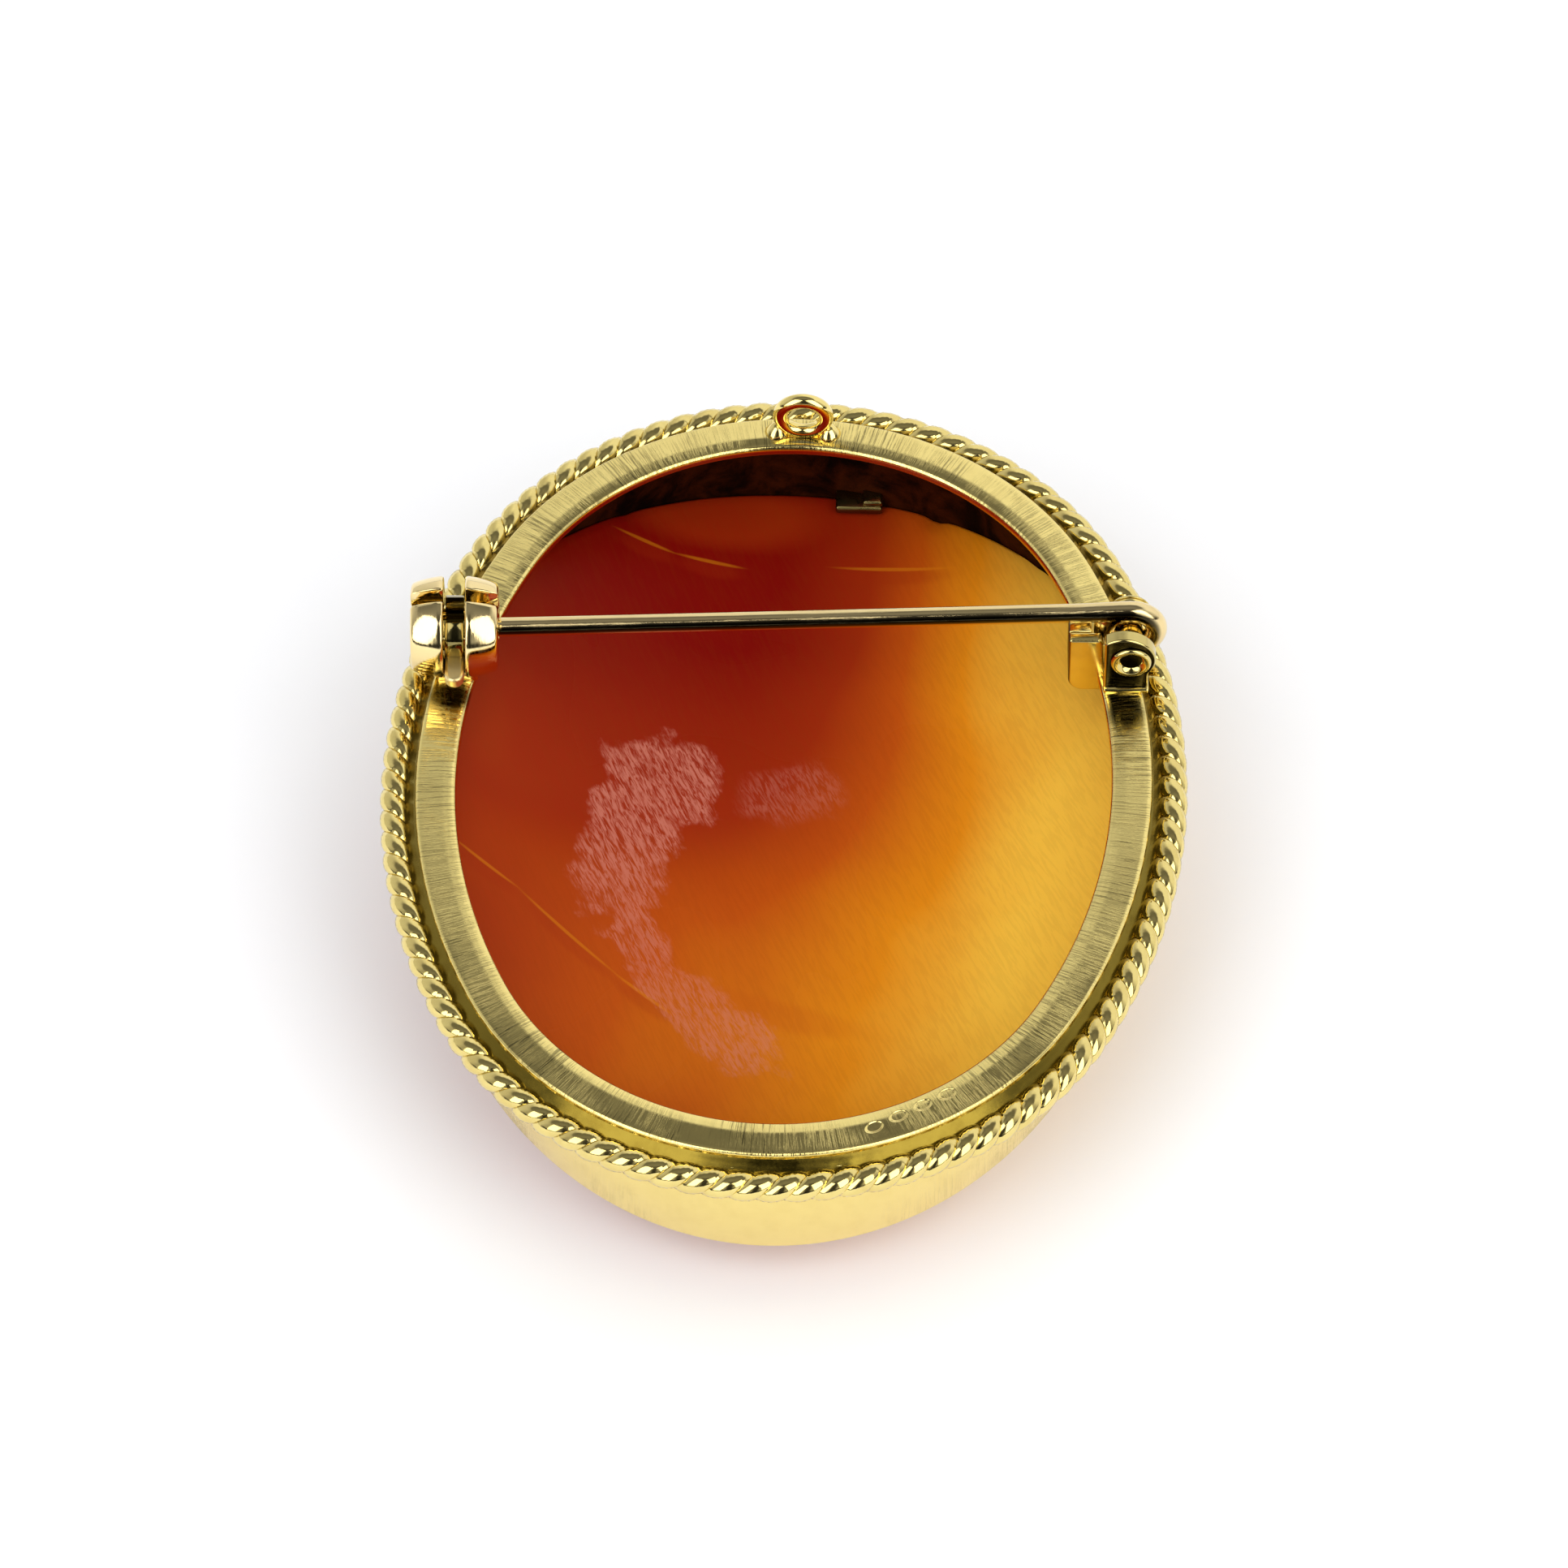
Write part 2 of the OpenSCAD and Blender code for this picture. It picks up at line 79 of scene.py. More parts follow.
class BroochSizes(bpy.types.PropertyGroup):
    band_w: millimetres("Band width", 36.8, "Width of the oval across the band's outer edge")
    band_l: millimetres("Band length", 47.0, "Length of the oval across the band's outer edge")
    end_r: millimetres("End radius", 16.8, "Radius of the oval's two end arcs")
    oval_turn: bpy.props.FloatProperty(
        name="Oval turn", description="Turn of the oval against the pin", default=math.radians(2.5),
        subtype="ANGLE",
    )
    rim_w: millimetres("Rim width", 2.05, "Width of the flat band")
    rim_t: millimetres("Rim thickness", 0.65, "Thickness of the flat band")
    wall_t: millimetres("Wall thickness", 0.5, "Thickness of the bezel wall")
    rope_d: millimetres("Rope diameter", 1.5, "Diameter of the rope over its strands")
    rope_drop: millimetres("Rope drop", 1.24, "Depth of the rope's centre under the band")
    stem_d: millimetres("Pin thickness", 0.96, "Diameter of the pin near the hinge")
    pivot_h: millimetres("Pivot height", 2.3, "Height of the hinge and the catch over the band")
    drum_d: millimetres("Drum diameter", 5.0, "Diameter of the catch drum at its middle")
    drum_l: millimetres("Drum length", 4.4, "Length of the catch drum")
    relief_h: millimetres("Relief height", 1.5, "Height of the carved flower")
    shell_t: millimetres("Shell thickness", 2.2, "Thickness of the shell at its middle")


class BroochColours(bpy.types.PropertyGroup):
    gold: tint("Gold", (0.90, 0.73, 0.265), "Colour of the polished gold")
    shell_dark: tint("Shell dark", (0.185, 0.003, 0.0015), "Deepest red of the shell")
    shell_red: tint("Shell red", (0.28, 0.02, 0.0025), "Red of the shell")
    shell_orange: tint("Shell orange", (0.44, 0.07, 0.0035), "Middle colour of the shell")
    shell_amber: tint("Shell amber", (0.66, 0.217, 0.006), "Amber of the shell")
    shell_honey: tint("Shell honey", (0.82, 0.468, 0.048), "Lightest colour of the shell")
    # painted reflection: the pink sheen is the softbox's reflection painted into the shell's colour
    shell_bloom: tint("Shell bloom", (0.58, 0.20, 0.14), "Colour of the dull pink bloom on the shell's back")
    carving: tint("Carving", (0.85, 0.74, 0.62), "Colour of the carved flower")
    floor: tint("Floor", (0.92, 0.93, 0.955), "Colour of the floor")


def sizes():
    """The sizes in millimetres, as plain numbers."""
    group = bpy.context.scene.brooch_sizes
    names = [n for n in BroochSizes.__annotations__ if n != "oval_turn"]
    values = {n: getattr(group, n) / MM for n in names}
    values["oval_turn"] = group.oval_turn
    return type("Sizes", (), values)


def colours():
    return bpy.context.scene.brooch_colours


# ---------------------------------------------------------------- the oval


class Oval:
    """The four-arc oval that the band, the wall, the rope and the shell all follow."""

    def __init__(self, s):
        self.half_w, self.half_l, self.end_r = s.band_w / 2, s.band_l / 2, s.end_r
        self.end_c = self.half_l - s.end_r
        self.side_r = (self.half_w**2 + self.end_c**2 - s.end_r**2) / (2 * (self.half_w - s.end_r))
        self.side_c = self.side_r - self.half_w
        self.side_a = math.atan2(self.end_c, self.side_c)
        self.turn = -s.oval_turn

    def arcs(self, offset):
        """The lengths of one side arc and one end arc."""
        side = 2 * self.side_a * (self.side_r + offset)
        end = (math.pi - 2 * self.side_a) * (self.end_r + offset)
        return side, end

    def length(self, offset):
        side, end = self.arcs(offset)
        return 2 * (side + end)

    def direction(self, run, offset):
        """The direction from the arc's centre after a run along the oval, from its +X side."""
        side, end = self.arcs(offset)
        run %= 2 * (side + end)
        marks = [
            (side / 2, 0.0, 0.0, self.side_r),
            (side / 2 + end, side / 2, self.side_a, self.end_r),
            (side * 1.5 + end, side / 2 + end, math.pi - self.side_a, self.side_r),
            (side * 1.5 + 2 * end, side * 1.5 + end, math.pi + self.side_a, self.end_r),
            (math.inf, side * 1.5 + 2 * end, 2 * math.pi - self.side_a, self.side_r),
        ]
        start, angle, radius = next(mark[1:] for mark in marks if run < mark[0])
        return angle + (run - start) / (radius + offset)

    def local(self, angle, offset):
        """A point of the oval before it is turned against the pin."""
        c, s = math.cos(angle), math.sin(angle)
        if abs(s) > math.sin(self.side_a):
            return (self.end_r + offset) * c, math.copysign(self.end_c, s) + (self.end_r + offset) * s
        return -math.copysign(self.side_c, c) + (self.side_r + offset) * c, (self.side_r + offset) * s

    def turned(self, x, y):
        c, s = math.cos(self.turn), math.sin(self.turn)
        return x * c - y * s, x * s + y * c


def bowl_rise(x, y, cross_r, long_r):
    return cross_r - math.sqrt(max(cross_r**2 - x * x, 0)) + long_r - math.sqrt(long_r**2 - y * y)


def arc_radius(half, rise):
    """The radius of an arc that rises by a height over a half length."""
    return (half * half + rise * rise) / (2 * rise)


class Shape:
    """The heights and offsets that several pieces share, in millimetres."""

    side_rise = 6.75
    front_rise = 2.5
    back_rise = 1.7
    hollow_shift = 1.0
    lip_h = 0.35
    gap = 0.08
    wall_out = 0.1

    def __init__(self, s):
        self.oval = Oval(s)
        self.cross_r = arc_radius(s.band_w / 2, self.side_rise)
        self.front_long_r = arc_radius(s.band_l / 2, self.front_rise)
        self.back_long_r = arc_radius(s.band_l / 2, self.back_rise)
        self.wall_in = self.wall_out - s.wall_t
        self.band_z = PIVOT.z - s.pivot_h
        self.ground_z = s.relief_h
        self.wall_low = self.ground_z - self.lip_h - self.gap
        self.hollow_z = self.ground_z + s.shell_t

    def wall_foot(self, x, y):
        return self.wall_low + bowl_rise(x, y, self.cross_r, self.front_long_r)

    def front(self, x, y):
        return self.ground_z + bowl_rise(x, y, self.cross_r, self.front_long_r)

    def back(self, x, y):
        return self.hollow_z + bowl_rise(x - self.hollow_shift, y, self.cross_r, self.back_long_r)


# ---------------------------------------------------------------- meshes


def run_lengths(points):
    """The distance along a closed line of points at each of them, and once round."""
    total = [0.0]
    for a, b in zip(points, points[1:] + points[:1]):
        total.append(total[-1] + (Vector(a) - Vector(b)).length)
    return total


def loft(name, rings, smooth_angle, loop=False):
    """A skin over rings of points in millimetres. UVs hold the run along and round it, in millimetres."""
    count = len(rings[0])
    verts = [tuple(c * MM for c in p) for ring in rings for p in ring]
    faces, uvs = [], []
    along = run_lengths([ring[0] for ring in rings])
    around = [run_lengths(ring) for ring in rings]
    for i in range(len(rings) if loop else len(rings) - 1):
        j = (i + 1) % len(rings)
        for k in range(count):
            m = (k + 1) % count
            faces.append((i * count + k, i * count + m, j * count + m, j * count + k))
            near = [(along[i], around[i][k]), (along[i], around[i][k + 1])]
            far = [(along[i + 1], around[j][k + 1]), (along[i + 1], around[j][k])]
            uvs.append(near + far)
    if not loop:
        last = (len(rings) - 1) * count
        faces += [tuple(reversed(range(count))), tuple(last + k for k in range(count))]
        uvs += [[(0.0, 0.0)] * count] * 2
    return mesh_object(name, verts, faces, uvs, smooth_angle)


def mesh_object(name, verts, faces, uvs=None, smooth_angle=40):
    mesh = bpy.data.meshes.new(name)
    mesh.from_pydata(verts, [], faces)
    if uvs:
        layer = mesh.uv_layers.new(name="run")
        layer.data.foreach_set("uv", [c for face in uvs for corner in face for c in corner])
    mesh.validate()
    obj = bpy.data.objects.new(name, mesh)
    bpy.context.scene.collection.objects.link(obj)
    bm = bmesh.new()
    bm.from_mesh(mesh)
    bmesh.ops.recalc_face_normals(bm, faces=bm.faces)
    bm.to_mesh(mesh)
    bm.free()
    mesh.shade_smooth()
    mesh.set_sharp_from_angle(angle=math.radians(smooth_angle))
    return obj


def bevelled(obj, width, segments, angle=30):
    edge = obj.modifiers.new("edge", "BEVEL")
    edge.width = width * MM
    edge.segments = segments
    edge.limit_method = "ANGLE"
    edge.angle_limit = math.radians(angle)
    edge.harden_normals = True
    obj.modifiers.new("shading", "WEIGHTED_NORMAL").keep_sharp = False
    graph = bpy.context.evaluated_depsgraph_get()
    mesh = bpy.data.meshes.new_from_object(obj.evaluated_get(graph), depsgraph=graph)
    obj.modifiers.clear()
    obj.data = mesh
    return obj


def prism(name, outline, low, high, place, bevel, segments):
    """A flat outline raised from low to high, placed by a matrix in millimetres, with its edges rounded."""
    rings = [[place @ Vector((x, y, z)) for x, y in outline] for z in (low, high)]
    return bevelled(loft(name, rings, 30), bevel, segments)


def lathe(name, profile, place, steps, smooth_angle):
    """A profile of (radius, height) turned round Z, then placed by a matrix in millimetres."""
    rings = []
    for i in range(steps):
        a = 2 * math.pi * i / steps
        rings.append([place @ Vector((r * math.cos(a), r * math.sin(a), z)) for r, z in profile])
    return loft(name, rings, smooth_angle, loop=True)


def swept(name, oval, section_at, steps, smooth_angle):
    """A closed section carried round the oval. At an angle it is a list of offsets and heights."""
    total = oval.length(0)
    rings = []
    for i in range(steps):
        a = oval.direction(total * i / steps, 0)
        rings.append([(*oval.turned(*oval.local(a, n)), z) for n, z in section_at(a)])
    return loft(name, rings, smooth_angle, loop=True)


def open_tube(name, section, mouth_half, place, steps, smooth_angle):
    """A section of (radius, x) carried round X, with a parallel-sided mouth left open at the top."""
    rings = []
    for i in range(steps + 1):
        ring = []
        for r, x in section:
            gap = math.asin(min(mouth_half / r, 1.0))
            a = gap + (2 * math.pi - 2 * gap) * i / steps
            ring.append(place @ Vector((x, r * math.sin(a), r * math.cos(a))))
        rings.append(ring)
    return loft(name, rings, smooth_angle)


def round_corner(cx, cy, radius, start, end, steps):
    """The points of an arc between two angles in degrees."""
    angles = [math.radians(start + (end - start) * i / steps) for i in range(steps + 1)]
    return [(cx + radius * math.cos(a), cy + radius * math.sin(a)) for a in angles]


def join(name, objs):
    """Joins pieces of one finish and one body into one object."""
    bm = bmesh.new()
    for obj in objs:
        bm.from_mesh(obj.data)
    mesh = bpy.data.meshes.new(name)
    bm.to_mesh(mesh)
    bm.free()
    for obj in objs:
        bpy.data.objects.remove(obj, do_unlink=True)
    joined = bpy.data.objects.new(name, mesh)
    bpy.context.scene.collection.objects.link(joined)
    mesh.shade_smooth()
    mesh.set_sharp_from_angle(angle=math.radians(35))
    return joined


def dress(obj, body, slot, material, *nodes):
    """Gives a piece its finish, its body, its slot and the nodes that it stands for."""
    obj.data.materials.clear()
    obj.data.materials.append(material)
    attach(obj, body)
    if nodes:
        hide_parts(*nodes)


# ---------------------------------------------------------------- finishes


class Nodes:
    """Short names for the nodes that the finishes and the room are made of."""

    def __init__(self, tree):
        self.tree = tree

    def node(self, kind, **settings):
        n = self.tree.nodes.new(kind)
        for key, value in settings.items():
            setattr(n, key, value)
        return n

    def link(self, a, b):
        self.tree.links.new(a, b)

    def feed(self, socket, value):
        if isinstance(value, bpy.types.NodeSocket):
            self.link(value, socket)
        else:
            socket.default_value = value

    def set(self, node, values):
        for key, value in values.items():
            node.inputs[key].default_value = value

    def coords(self, kind, scale=(1, 1, 1)):
        mapping = self.node("ShaderNodeMapping")
        self.set(mapping, {"Scale": scale})
        self.link(self.node("ShaderNodeTexCoord").outputs[kind], mapping.inputs["Vector"])
        return mapping.outputs["Vector"]

    def axes(self, vector):
        split = self.node("ShaderNodeSeparateXYZ")
        self.link(vector, split.inputs[0])
        return split.outputs[0], split.outputs[1], split.outputs[2]

    def noise(self, vector, scale, detail=3.0, rough=0.5, distort=0.0):
        n = self.node("ShaderNodeTexNoise")
        self.link(vector, n.inputs["Vector"])
        self.set(n, {"Scale": scale, "Detail": detail, "Roughness": rough, "Distortion": distort})
        return n.outputs["Fac"]

    def ramp(self, value, low, high, a=0.0, b=1.0, smooth=True):
        n = self.node("ShaderNodeMapRange", interpolation_type="SMOOTHSTEP" if smooth else "LINEAR")
        self.link(value, n.inputs["Value"])
        self.set(n, {"From Min": low, "From Max": high, "To Min": a, "To Max": b})
        return n.outputs["Result"]

    def math(self, operation, a, b=0.0):
        n = self.node("ShaderNodeMath", operation=operation)
        self.feed(n.inputs[0], a)
        self.feed(n.inputs[1], b)
        return n.outputs[0]

    def times(self, a, b):
        return self.math("MULTIPLY", a, b)

    def plus(self, a, b):
        return self.math("ADD", a, b)

    def mix(self, factor, a, b):
        n = self.node("ShaderNodeMix", data_type="RGBA")
        self.feed(n.inputs["Factor"], factor)
        for key, value in (("A", a), ("B", b)):
            self.feed(n.inputs[key], value if isinstance(value, bpy.types.NodeSocket) else (*value, 1.0))
        return n.outputs["Result"]

    def stops(self, value, pairs):
        """A run of colours through pairs of place and colour."""
        n = self.node("ShaderNodeValToRGB")
        marks = n.color_ramp.elements
        for mark, (at, colour) in zip((marks[0], marks[1]), (pairs[0], pairs[-1])):
            mark.position, mark.color = at, (*colour, 1)
        for at, colour in pairs[1:-1]:
            marks.new(at).color = (*colour, 1)
        self.link(value, n.inputs[0])
        return n.outputs[0]

    def curve(self, value, points, span=2.5):
        """A smooth curve through pairs of place and height, for heights within half the span of zero."""
        low, high = points[0][0], points[-1][0]
        n = self.node("ShaderNodeFloatCurve")
        marks = n.mapping.curves[0].points
        for mark, (at, height) in zip((marks[0], marks[1]), (points[0], points[-1])):
            mark.location = ((at - low) / (high - low), 0.5 + height / span)
        for at, height in points[1:-1]:
            marks.new((at - low) / (high - low), 0.5 + height / span)
        n.mapping.update()
        self.link(self.ramp(value, low, high, smooth=False), n.inputs["Value"])
        return self.times(self.math("SUBTRACT", n.outputs[0], 0.5), span)

    def stretched(self, vector, scale, tilt, at=(0, 0, 0)):
        """Coordinates whose unit is an oval of the given half widths, turned by a tilt in degrees."""
        n = self.node("ShaderNodeMapping", vector_type="TEXTURE")
        self.set(n, {"Location": at, "Rotation": (0, 0, math.radians(tilt)), "Scale": scale})
        self.link(vector, n.inputs["Vector"])
        return n.outputs[0]

    def away_from(self, place, cx, cy, rx, ry, tilt):
        """The distance from an oval's middle, in millimetres' space, one on its edge."""
        size = self.node("ShaderNodeVectorMath", operation="LENGTH")
        self.link(self.stretched(place, (rx, ry, 1000), tilt, (cx, cy, 0)), size.inputs[0])
        return size.outputs["Value"]

    def spot(self, place, where, inner=0.5, outer=1.2, strength=1.0):
        """A soft oval mark, at its full strength inside and nothing outside."""
        return self.ramp(self.away_from(place, *where), inner, outer, strength, 0.0)

    def bump(self, height, strength, distance, normal=None):
        n = self.node("ShaderNodeBump")
        self.set(n, {"Strength": strength, "Distance": distance * MM})
        self.link(height, n.inputs["Height"])
        if normal:
            self.link(normal, n.inputs["Normal"])
        return n.outputs["Normal"]


def finish(name, build):
    """A material by its name. The first time, build makes its nodes and gives the sockets of its surface."""
    mat = bpy.data.materials.get(name)
    if mat is None:
        mat = bpy.data.materials.new(name)
        mat.use_nodes = True
        f = Nodes(mat.node_tree)
        surface = mat.node_tree.nodes["Principled BSDF"]
        for key, value in build(f).items():
            f.feed(surface.inputs[key], value)
    return mat


def scaled(colour, *shares):
    """A colour times one share, or times a share for each of its parts."""
    return [c * share for c, share in zip(colour, shares if len(shares) == 3 else shares * 3)]


# four plain oval dents in a row at the foot of the band: middle and tilt
BAND_DENTS = [(4.41 + 1.19 * i, -21.79 + 0.67 * i, 29) for i in range(4)]
# painted dark reflections on the band beside the hinge and the catch: middle, half widths and tilt
BAND_DARK_REFLECTIONS = [(17.15, 4.1, 0.95, 1.05, 0), (-16.8, 5.2, 1.2, 0.95, 0)]

GOLD_LOOKS = {
    "scratched_gold": {
        "rough": (0.05, 0.13), "wear": 0.2, "scratches": 0.30, "scratch_along": (9.0, 0.35, 1),
        "dents": BAND_DENTS, "dark_reflections": BAND_DARK_REFLECTIONS, "grime": 0.8,
    },
    "twisted_gold": {"rough": (0.06, 0.14), "wear": 0.5, "shade": 0.92},
    # painted shade and reflection: the solder is a dark, saturated yellow for the shaded groove and the rope's
    # gold mirrored in it
    "solder_gold": {"rough": (0.14, 0.26), "wear": 0.5, "shade": 0.24, "cast": (1.0, 0.88, 0.35)},
    "polished_gold": {"rough": (0.04, 0.10), "wear": 0.2},
    # painted dark reflection: the ear's front face is painted near black, and the whole ear a little darker
    "shaded_gold": {"rough": (0.03, 0.08), "wear": 0.4, "shade": 0.72, "dark_faces": [(0, -1, 0)]},
    # painted dark reflection: the stop block's left and lower sides and their rounded edges are painted near
    # black
    "block_gold": {
        "rough": (0.16, 0.24), "wear": 0.5, "shade": 0.95,
        "dark_faces": [(-1, 0, 0), (0, 0, -1)], "dark_range": (0.2, 0.8),
    },
    "rivet_gold": {"rough": (0.04, 0.10), "wear": 0.4, "shade": 0.8},
    # painted dark reflection: a near-black strip along the side of the pin that faces the near side and a
    # little upwards
    "drawn_gold": {
        "rough": (0.05, 0.11), "wear": 0.25, "shade": 0.95, "pale": 0.5,
        "scratches": 0.12, "scratch_along": (0.12, 9.0, 1), "dark_faces": [(0, -0.93, 0.36)],
    },
    "mirror_gold": {
        "rough": (0.03, 0.08), "wear": 0.12, "pale": 0.45, "scratches": 0.05, "scratch_along": (0.6, 6, 1),
    },
    # painted shade: the ring in the catch's slot is darkened to a third, for the shade in the slot
    "slot_gold": {"rough": (0.05, 0.12), "wear": 0.5, "shade": 0.3},
    "tab_gold": {"rough": (0.32, 0.42), "wear": 0.2, "pale": 0.4},
    # painted shade: the keeper block inside the wall is darkened to about a fifth for the shade there, and it
    # is rough
    "shaded_dull_gold": {"rough": (0.18, 0.34), "wear": 0.6, "shade": 0.22},
}


def gold(name):
    return finish(name, lambda f: gold_surface(f, **GOLD_LOOKS[name]))


def gold_surface(f, rough, wear, shade=1.0, pale=0.0, cast=(1, 1, 1), scratches=0.0, scratch_along=None,
                 dents=(), dark_reflections=(), dark_faces=(), dark_range=(0.80, 0.97), grime=0.0):
    """Yellow gold: cloudy roughness, faint dull spots, and scratches that run one way along the UVs."""
    pale_gold, black = (0.93, 0.72, 0.46), 0.05
    base = [(c + (p - c) * pale) * shade * t for c, p, t in zip(colours().gold, pale_gold, cast)]
    place, flat = f.coords("Object"), f.coords("Object", IN_MM)
    cloud = f.noise(place, 900, detail=4.0, rough=0.6)
    fine = f.noise(place, 6000, detail=3.0, rough=0.6)
    colour = f.mix(f.ramp(cloud, 0.35, 0.75, 0.0, wear), base, scaled(base, 0.82, 0.76, 0.66))
    # painted dark reflection: faces turned towards each listed direction fade to near black, standing in for
    # the dark surroundings that they would mirror
    for face in dark_faces:
        facing = f.node("ShaderNodeVectorMath", operation="DOT_PRODUCT")
        f.link(f.coords("Normal"), facing.inputs[0])
        f.set(facing, {1: face})
        colour = f.mix(f.ramp(facing.outputs["Value"], *dark_range), colour, scaled(base, black))
    # painted dark reflection: near-black oval spots on the band
    for where in dark_reflections:
        colour = f.mix(f.spot(flat, where, 0.6, 1.3, 0.93), colour, scaled(base, black))
    roughness = f.plus(f.ramp(cloud, 0.3, 0.7, *rough), f.ramp(fine, 0.4, 0.8, 0.0, 0.05))
    normal = f.bump(fine, strength=0.06, distance=0.02)
    if scratches:
        lines = f.noise(f.coords("UV", scratch_along), 1.0, detail=5.0, rough=0.7)
        patches = f.ramp(f.noise(place, 260, detail=2.0), 0.38, 0.60, 0.15, 1.0)
        marks = f.times(f.ramp(lines, 0.46, 0.62), patches)
        normal = f.bump(marks, scratches, 0.02, normal)
        roughness = f.plus(roughness, f.ramp(marks, 0.0, 1.0, 0.0, 0.05))
        if grime:
            on_top = f.ramp(f.axes(f.coords("Normal"))[2], 0.5, 0.9, 0.0, grime)
            clumps = f.ramp(f.noise(place, 190, detail=2.0, rough=0.6), 0.42, 0.60)
            dirt = f.times(f.ramp(lines, 0.50, 0.62), clumps)
            colour = f.mix(f.times(dirt, on_top), colour, scaled(base, 0.22))
    for cx, cy, tilt in dents:
        dent = f.ramp(f.away_from(flat, cx, cy, 0.50, 0.32, tilt), 0.7, 1.05)
        normal = f.bump(dent, 0.9, 0.07, normal)
    return {"Base Color": colour, "Roughness": roughness, "Normal": normal, "Metallic": 1.0}


# the tone of the shell from left to right, near its top and near its foot, and how the one gives way to the
# other down the shell: 0 is the deepest red and 1 is honey
TONE_ABOVE = [(-18, 0.40), (-15, 0.27), (-10.4, 0.04), (-6, -0.02), (-1.5, -0.02), (3, 0.19), (7.5, 0.58),
              (11.9, 0.91), (18, 1.0)]
TONE_BELOW = [(-18, 0.34), (-15, 0.40), (-10.4, 0.50), (-1.5, 0.66), (3, 0.76), (7.5, 0.88), (11.9, 0.98),
              (18, 1.0)]
TONE_DOWN = [(-24, 1.0), (-8, 0.98), (-2.5, 0.85), (1.5, 0.62), (5.7, 0.42), (10.4, 0.20), (15, 0.0),
             (24, -0.10)]
# ovals where the shell is a little lighter: middle, half widths and tilt, then how much
LIGHT_OVALS = [((-3.3, 21.5, 5.5, 2.4, 0), 0.32), ((-13.2, 5.5, 3.6, 5.0, 20), 0.03)]
# thin bright lines: middle, half length and tilt
BRIGHT_LINES = [(-14.9, -3.5, 1.8, -25), (-10.8, -6.2, 3.1, -37.8), (-7.0, -9.1, 1.8, -35.5),
                (-7.1, 19.2, 1.6, -15), (-3.8, 18.6, 1.8, -6.5), (5.6, 18.3, 3.1, -6)]
SOFT_BAND = (-0.3, -9.6, 5.2, 1.0, -17.5)
# the ovals that make up the painted sheen's ragged crescent, and the faint patch beside it: the softbox's
# reflection painted into the shell's colour
CRESCENT = [(-6.0, 4.9, 2.9, 2.6, -15), (-7.9, 0.3, 2.2, 5.4, -13), (-7.2, -5.6, 1.3, 2.6, 25),
            (-4.0, -10.1, 2.0, 4.9, 46)]
FAINT_PATCH = (0.3, 4.6, 2.9, 1.9, 15)


def shell_surface(f):
    """The shell's colour runs from deep red to amber, with fine slanting lines and a dull pink bloom."""
    c = colours()
    place = f.coords("Object", IN_MM)
    x, y, _ = f.axes(place)
    wide = f.noise(place, 0.07, detail=2.0, distort=0.4)
    on_back = f.ramp(f.axes(f.coords("Normal"))[2], -0.1, 0.1)
    # the ground colour
    above, below = f.curve(x, TONE_ABOVE), f.curve(x, TONE_BELOW)
    tone = f.plus(above, f.times(f.math("SUBTRACT", below, above), f.curve(y, TONE_DOWN)))
    tone = f.plus(tone, f.ramp(wide, 0.3, 0.7, -0.05, 0.05, smooth=False))
    for where, share in LIGHT_OVALS:
        tone = f.plus(tone, f.times(f.spot(place, where), share))
    colour = f.stops(tone, [(0.0, c.shell_dark), (0.3, c.shell_red), (0.55, c.shell_orange),
                            (0.8, c.shell_amber), (1.0, c.shell_honey)])
    # growth lines, steep across the shell
    lines = f.noise(f.stretched(place, (0.15, 1.6, 1.6), 22), 1.0, detail=3.0, rough=0.6, distort=0.3)
    colour = f.mix(f.times(f.ramp(lines, 0.44, 0.60), 0.09), colour, scaled(c.shell_orange, 0.45))
    # the bright lines, each with a dark one just below it
    below_by, dark_half, bright_half = 0.45, 0.55, 0.12
    for at_x, at_y, reach, tilt in BRIGHT_LINES:
        dark = f.spot(place, (at_x, at_y - below_by, reach, dark_half, tilt))
        bright = f.spot(place, (at_x, at_y, reach, bright_half, tilt))
        colour = f.mix(f.times(dark, 0.25), colour, c.shell_red)
        colour = f.mix(f.times(f.times(bright, 0.35), on_back), colour, c.shell_amber)
    colour = f.mix(f.times(f.spot(place, SOFT_BAND), 0.22), colour, c.shell_orange)
    # the painted sheen, a painted reflection of the softbox: one ragged crescent that weakens downwards, and
    # the faint patch
    ragged = f.ramp(f.noise(place, 0.5, detail=4.0, rough=0.58), 0.2, 0.8, -0.40, 0.40, smooth=False)
    edge = f.away_from(place, *CRESCENT[0])
    for where in CRESCENT[1:]:
        edge = f.math("MINIMUM", edge, f.away_from(place, *where))
    crescent = f.times(f.ramp(f.plus(edge, ragged), 0.85, 1.12, 1.0, 0.0), f.ramp(y, -8.0, 3.0, 0.55, 0.95))
    faint = f.times(f.ramp(f.plus(f.away_from(place, *FAINT_PATCH), ragged), 0.5, 1.2, 1.0, 0.0), 0.36)
    silk = f.noise(f.stretched(place, (0.13, 0.8, 0.8), 26), 1.0, detail=3.0, rough=0.6, distort=0.8)
    sheen = f.times(f.math("MAXIMUM", crescent, faint), on_back)
    sheen = f.times(sheen, f.ramp(silk, 0.38, 0.62, 0.05, 1.0))
    colour = f.mix(f.times(sheen, 0.70), colour, c.shell_bloom)
    return {
        "Base Color": colour,
        "Roughness": f.plus(f.ramp(wide, 0.3, 0.7, 0.22, 0.32), f.times(sheen, 0.12)),
        "Normal": f.bump(lines, 0.06, 0.03, f.bump(silk, 0.08, 0.02)),
        "Specular IOR Level": 0.03,
        "Subsurface Weight": 0.10,
        "Subsurface Radius": (1.0, 0.25, 0.08),
        "Subsurface Scale": 0.0015,
        "IOR": 1.5,
    }


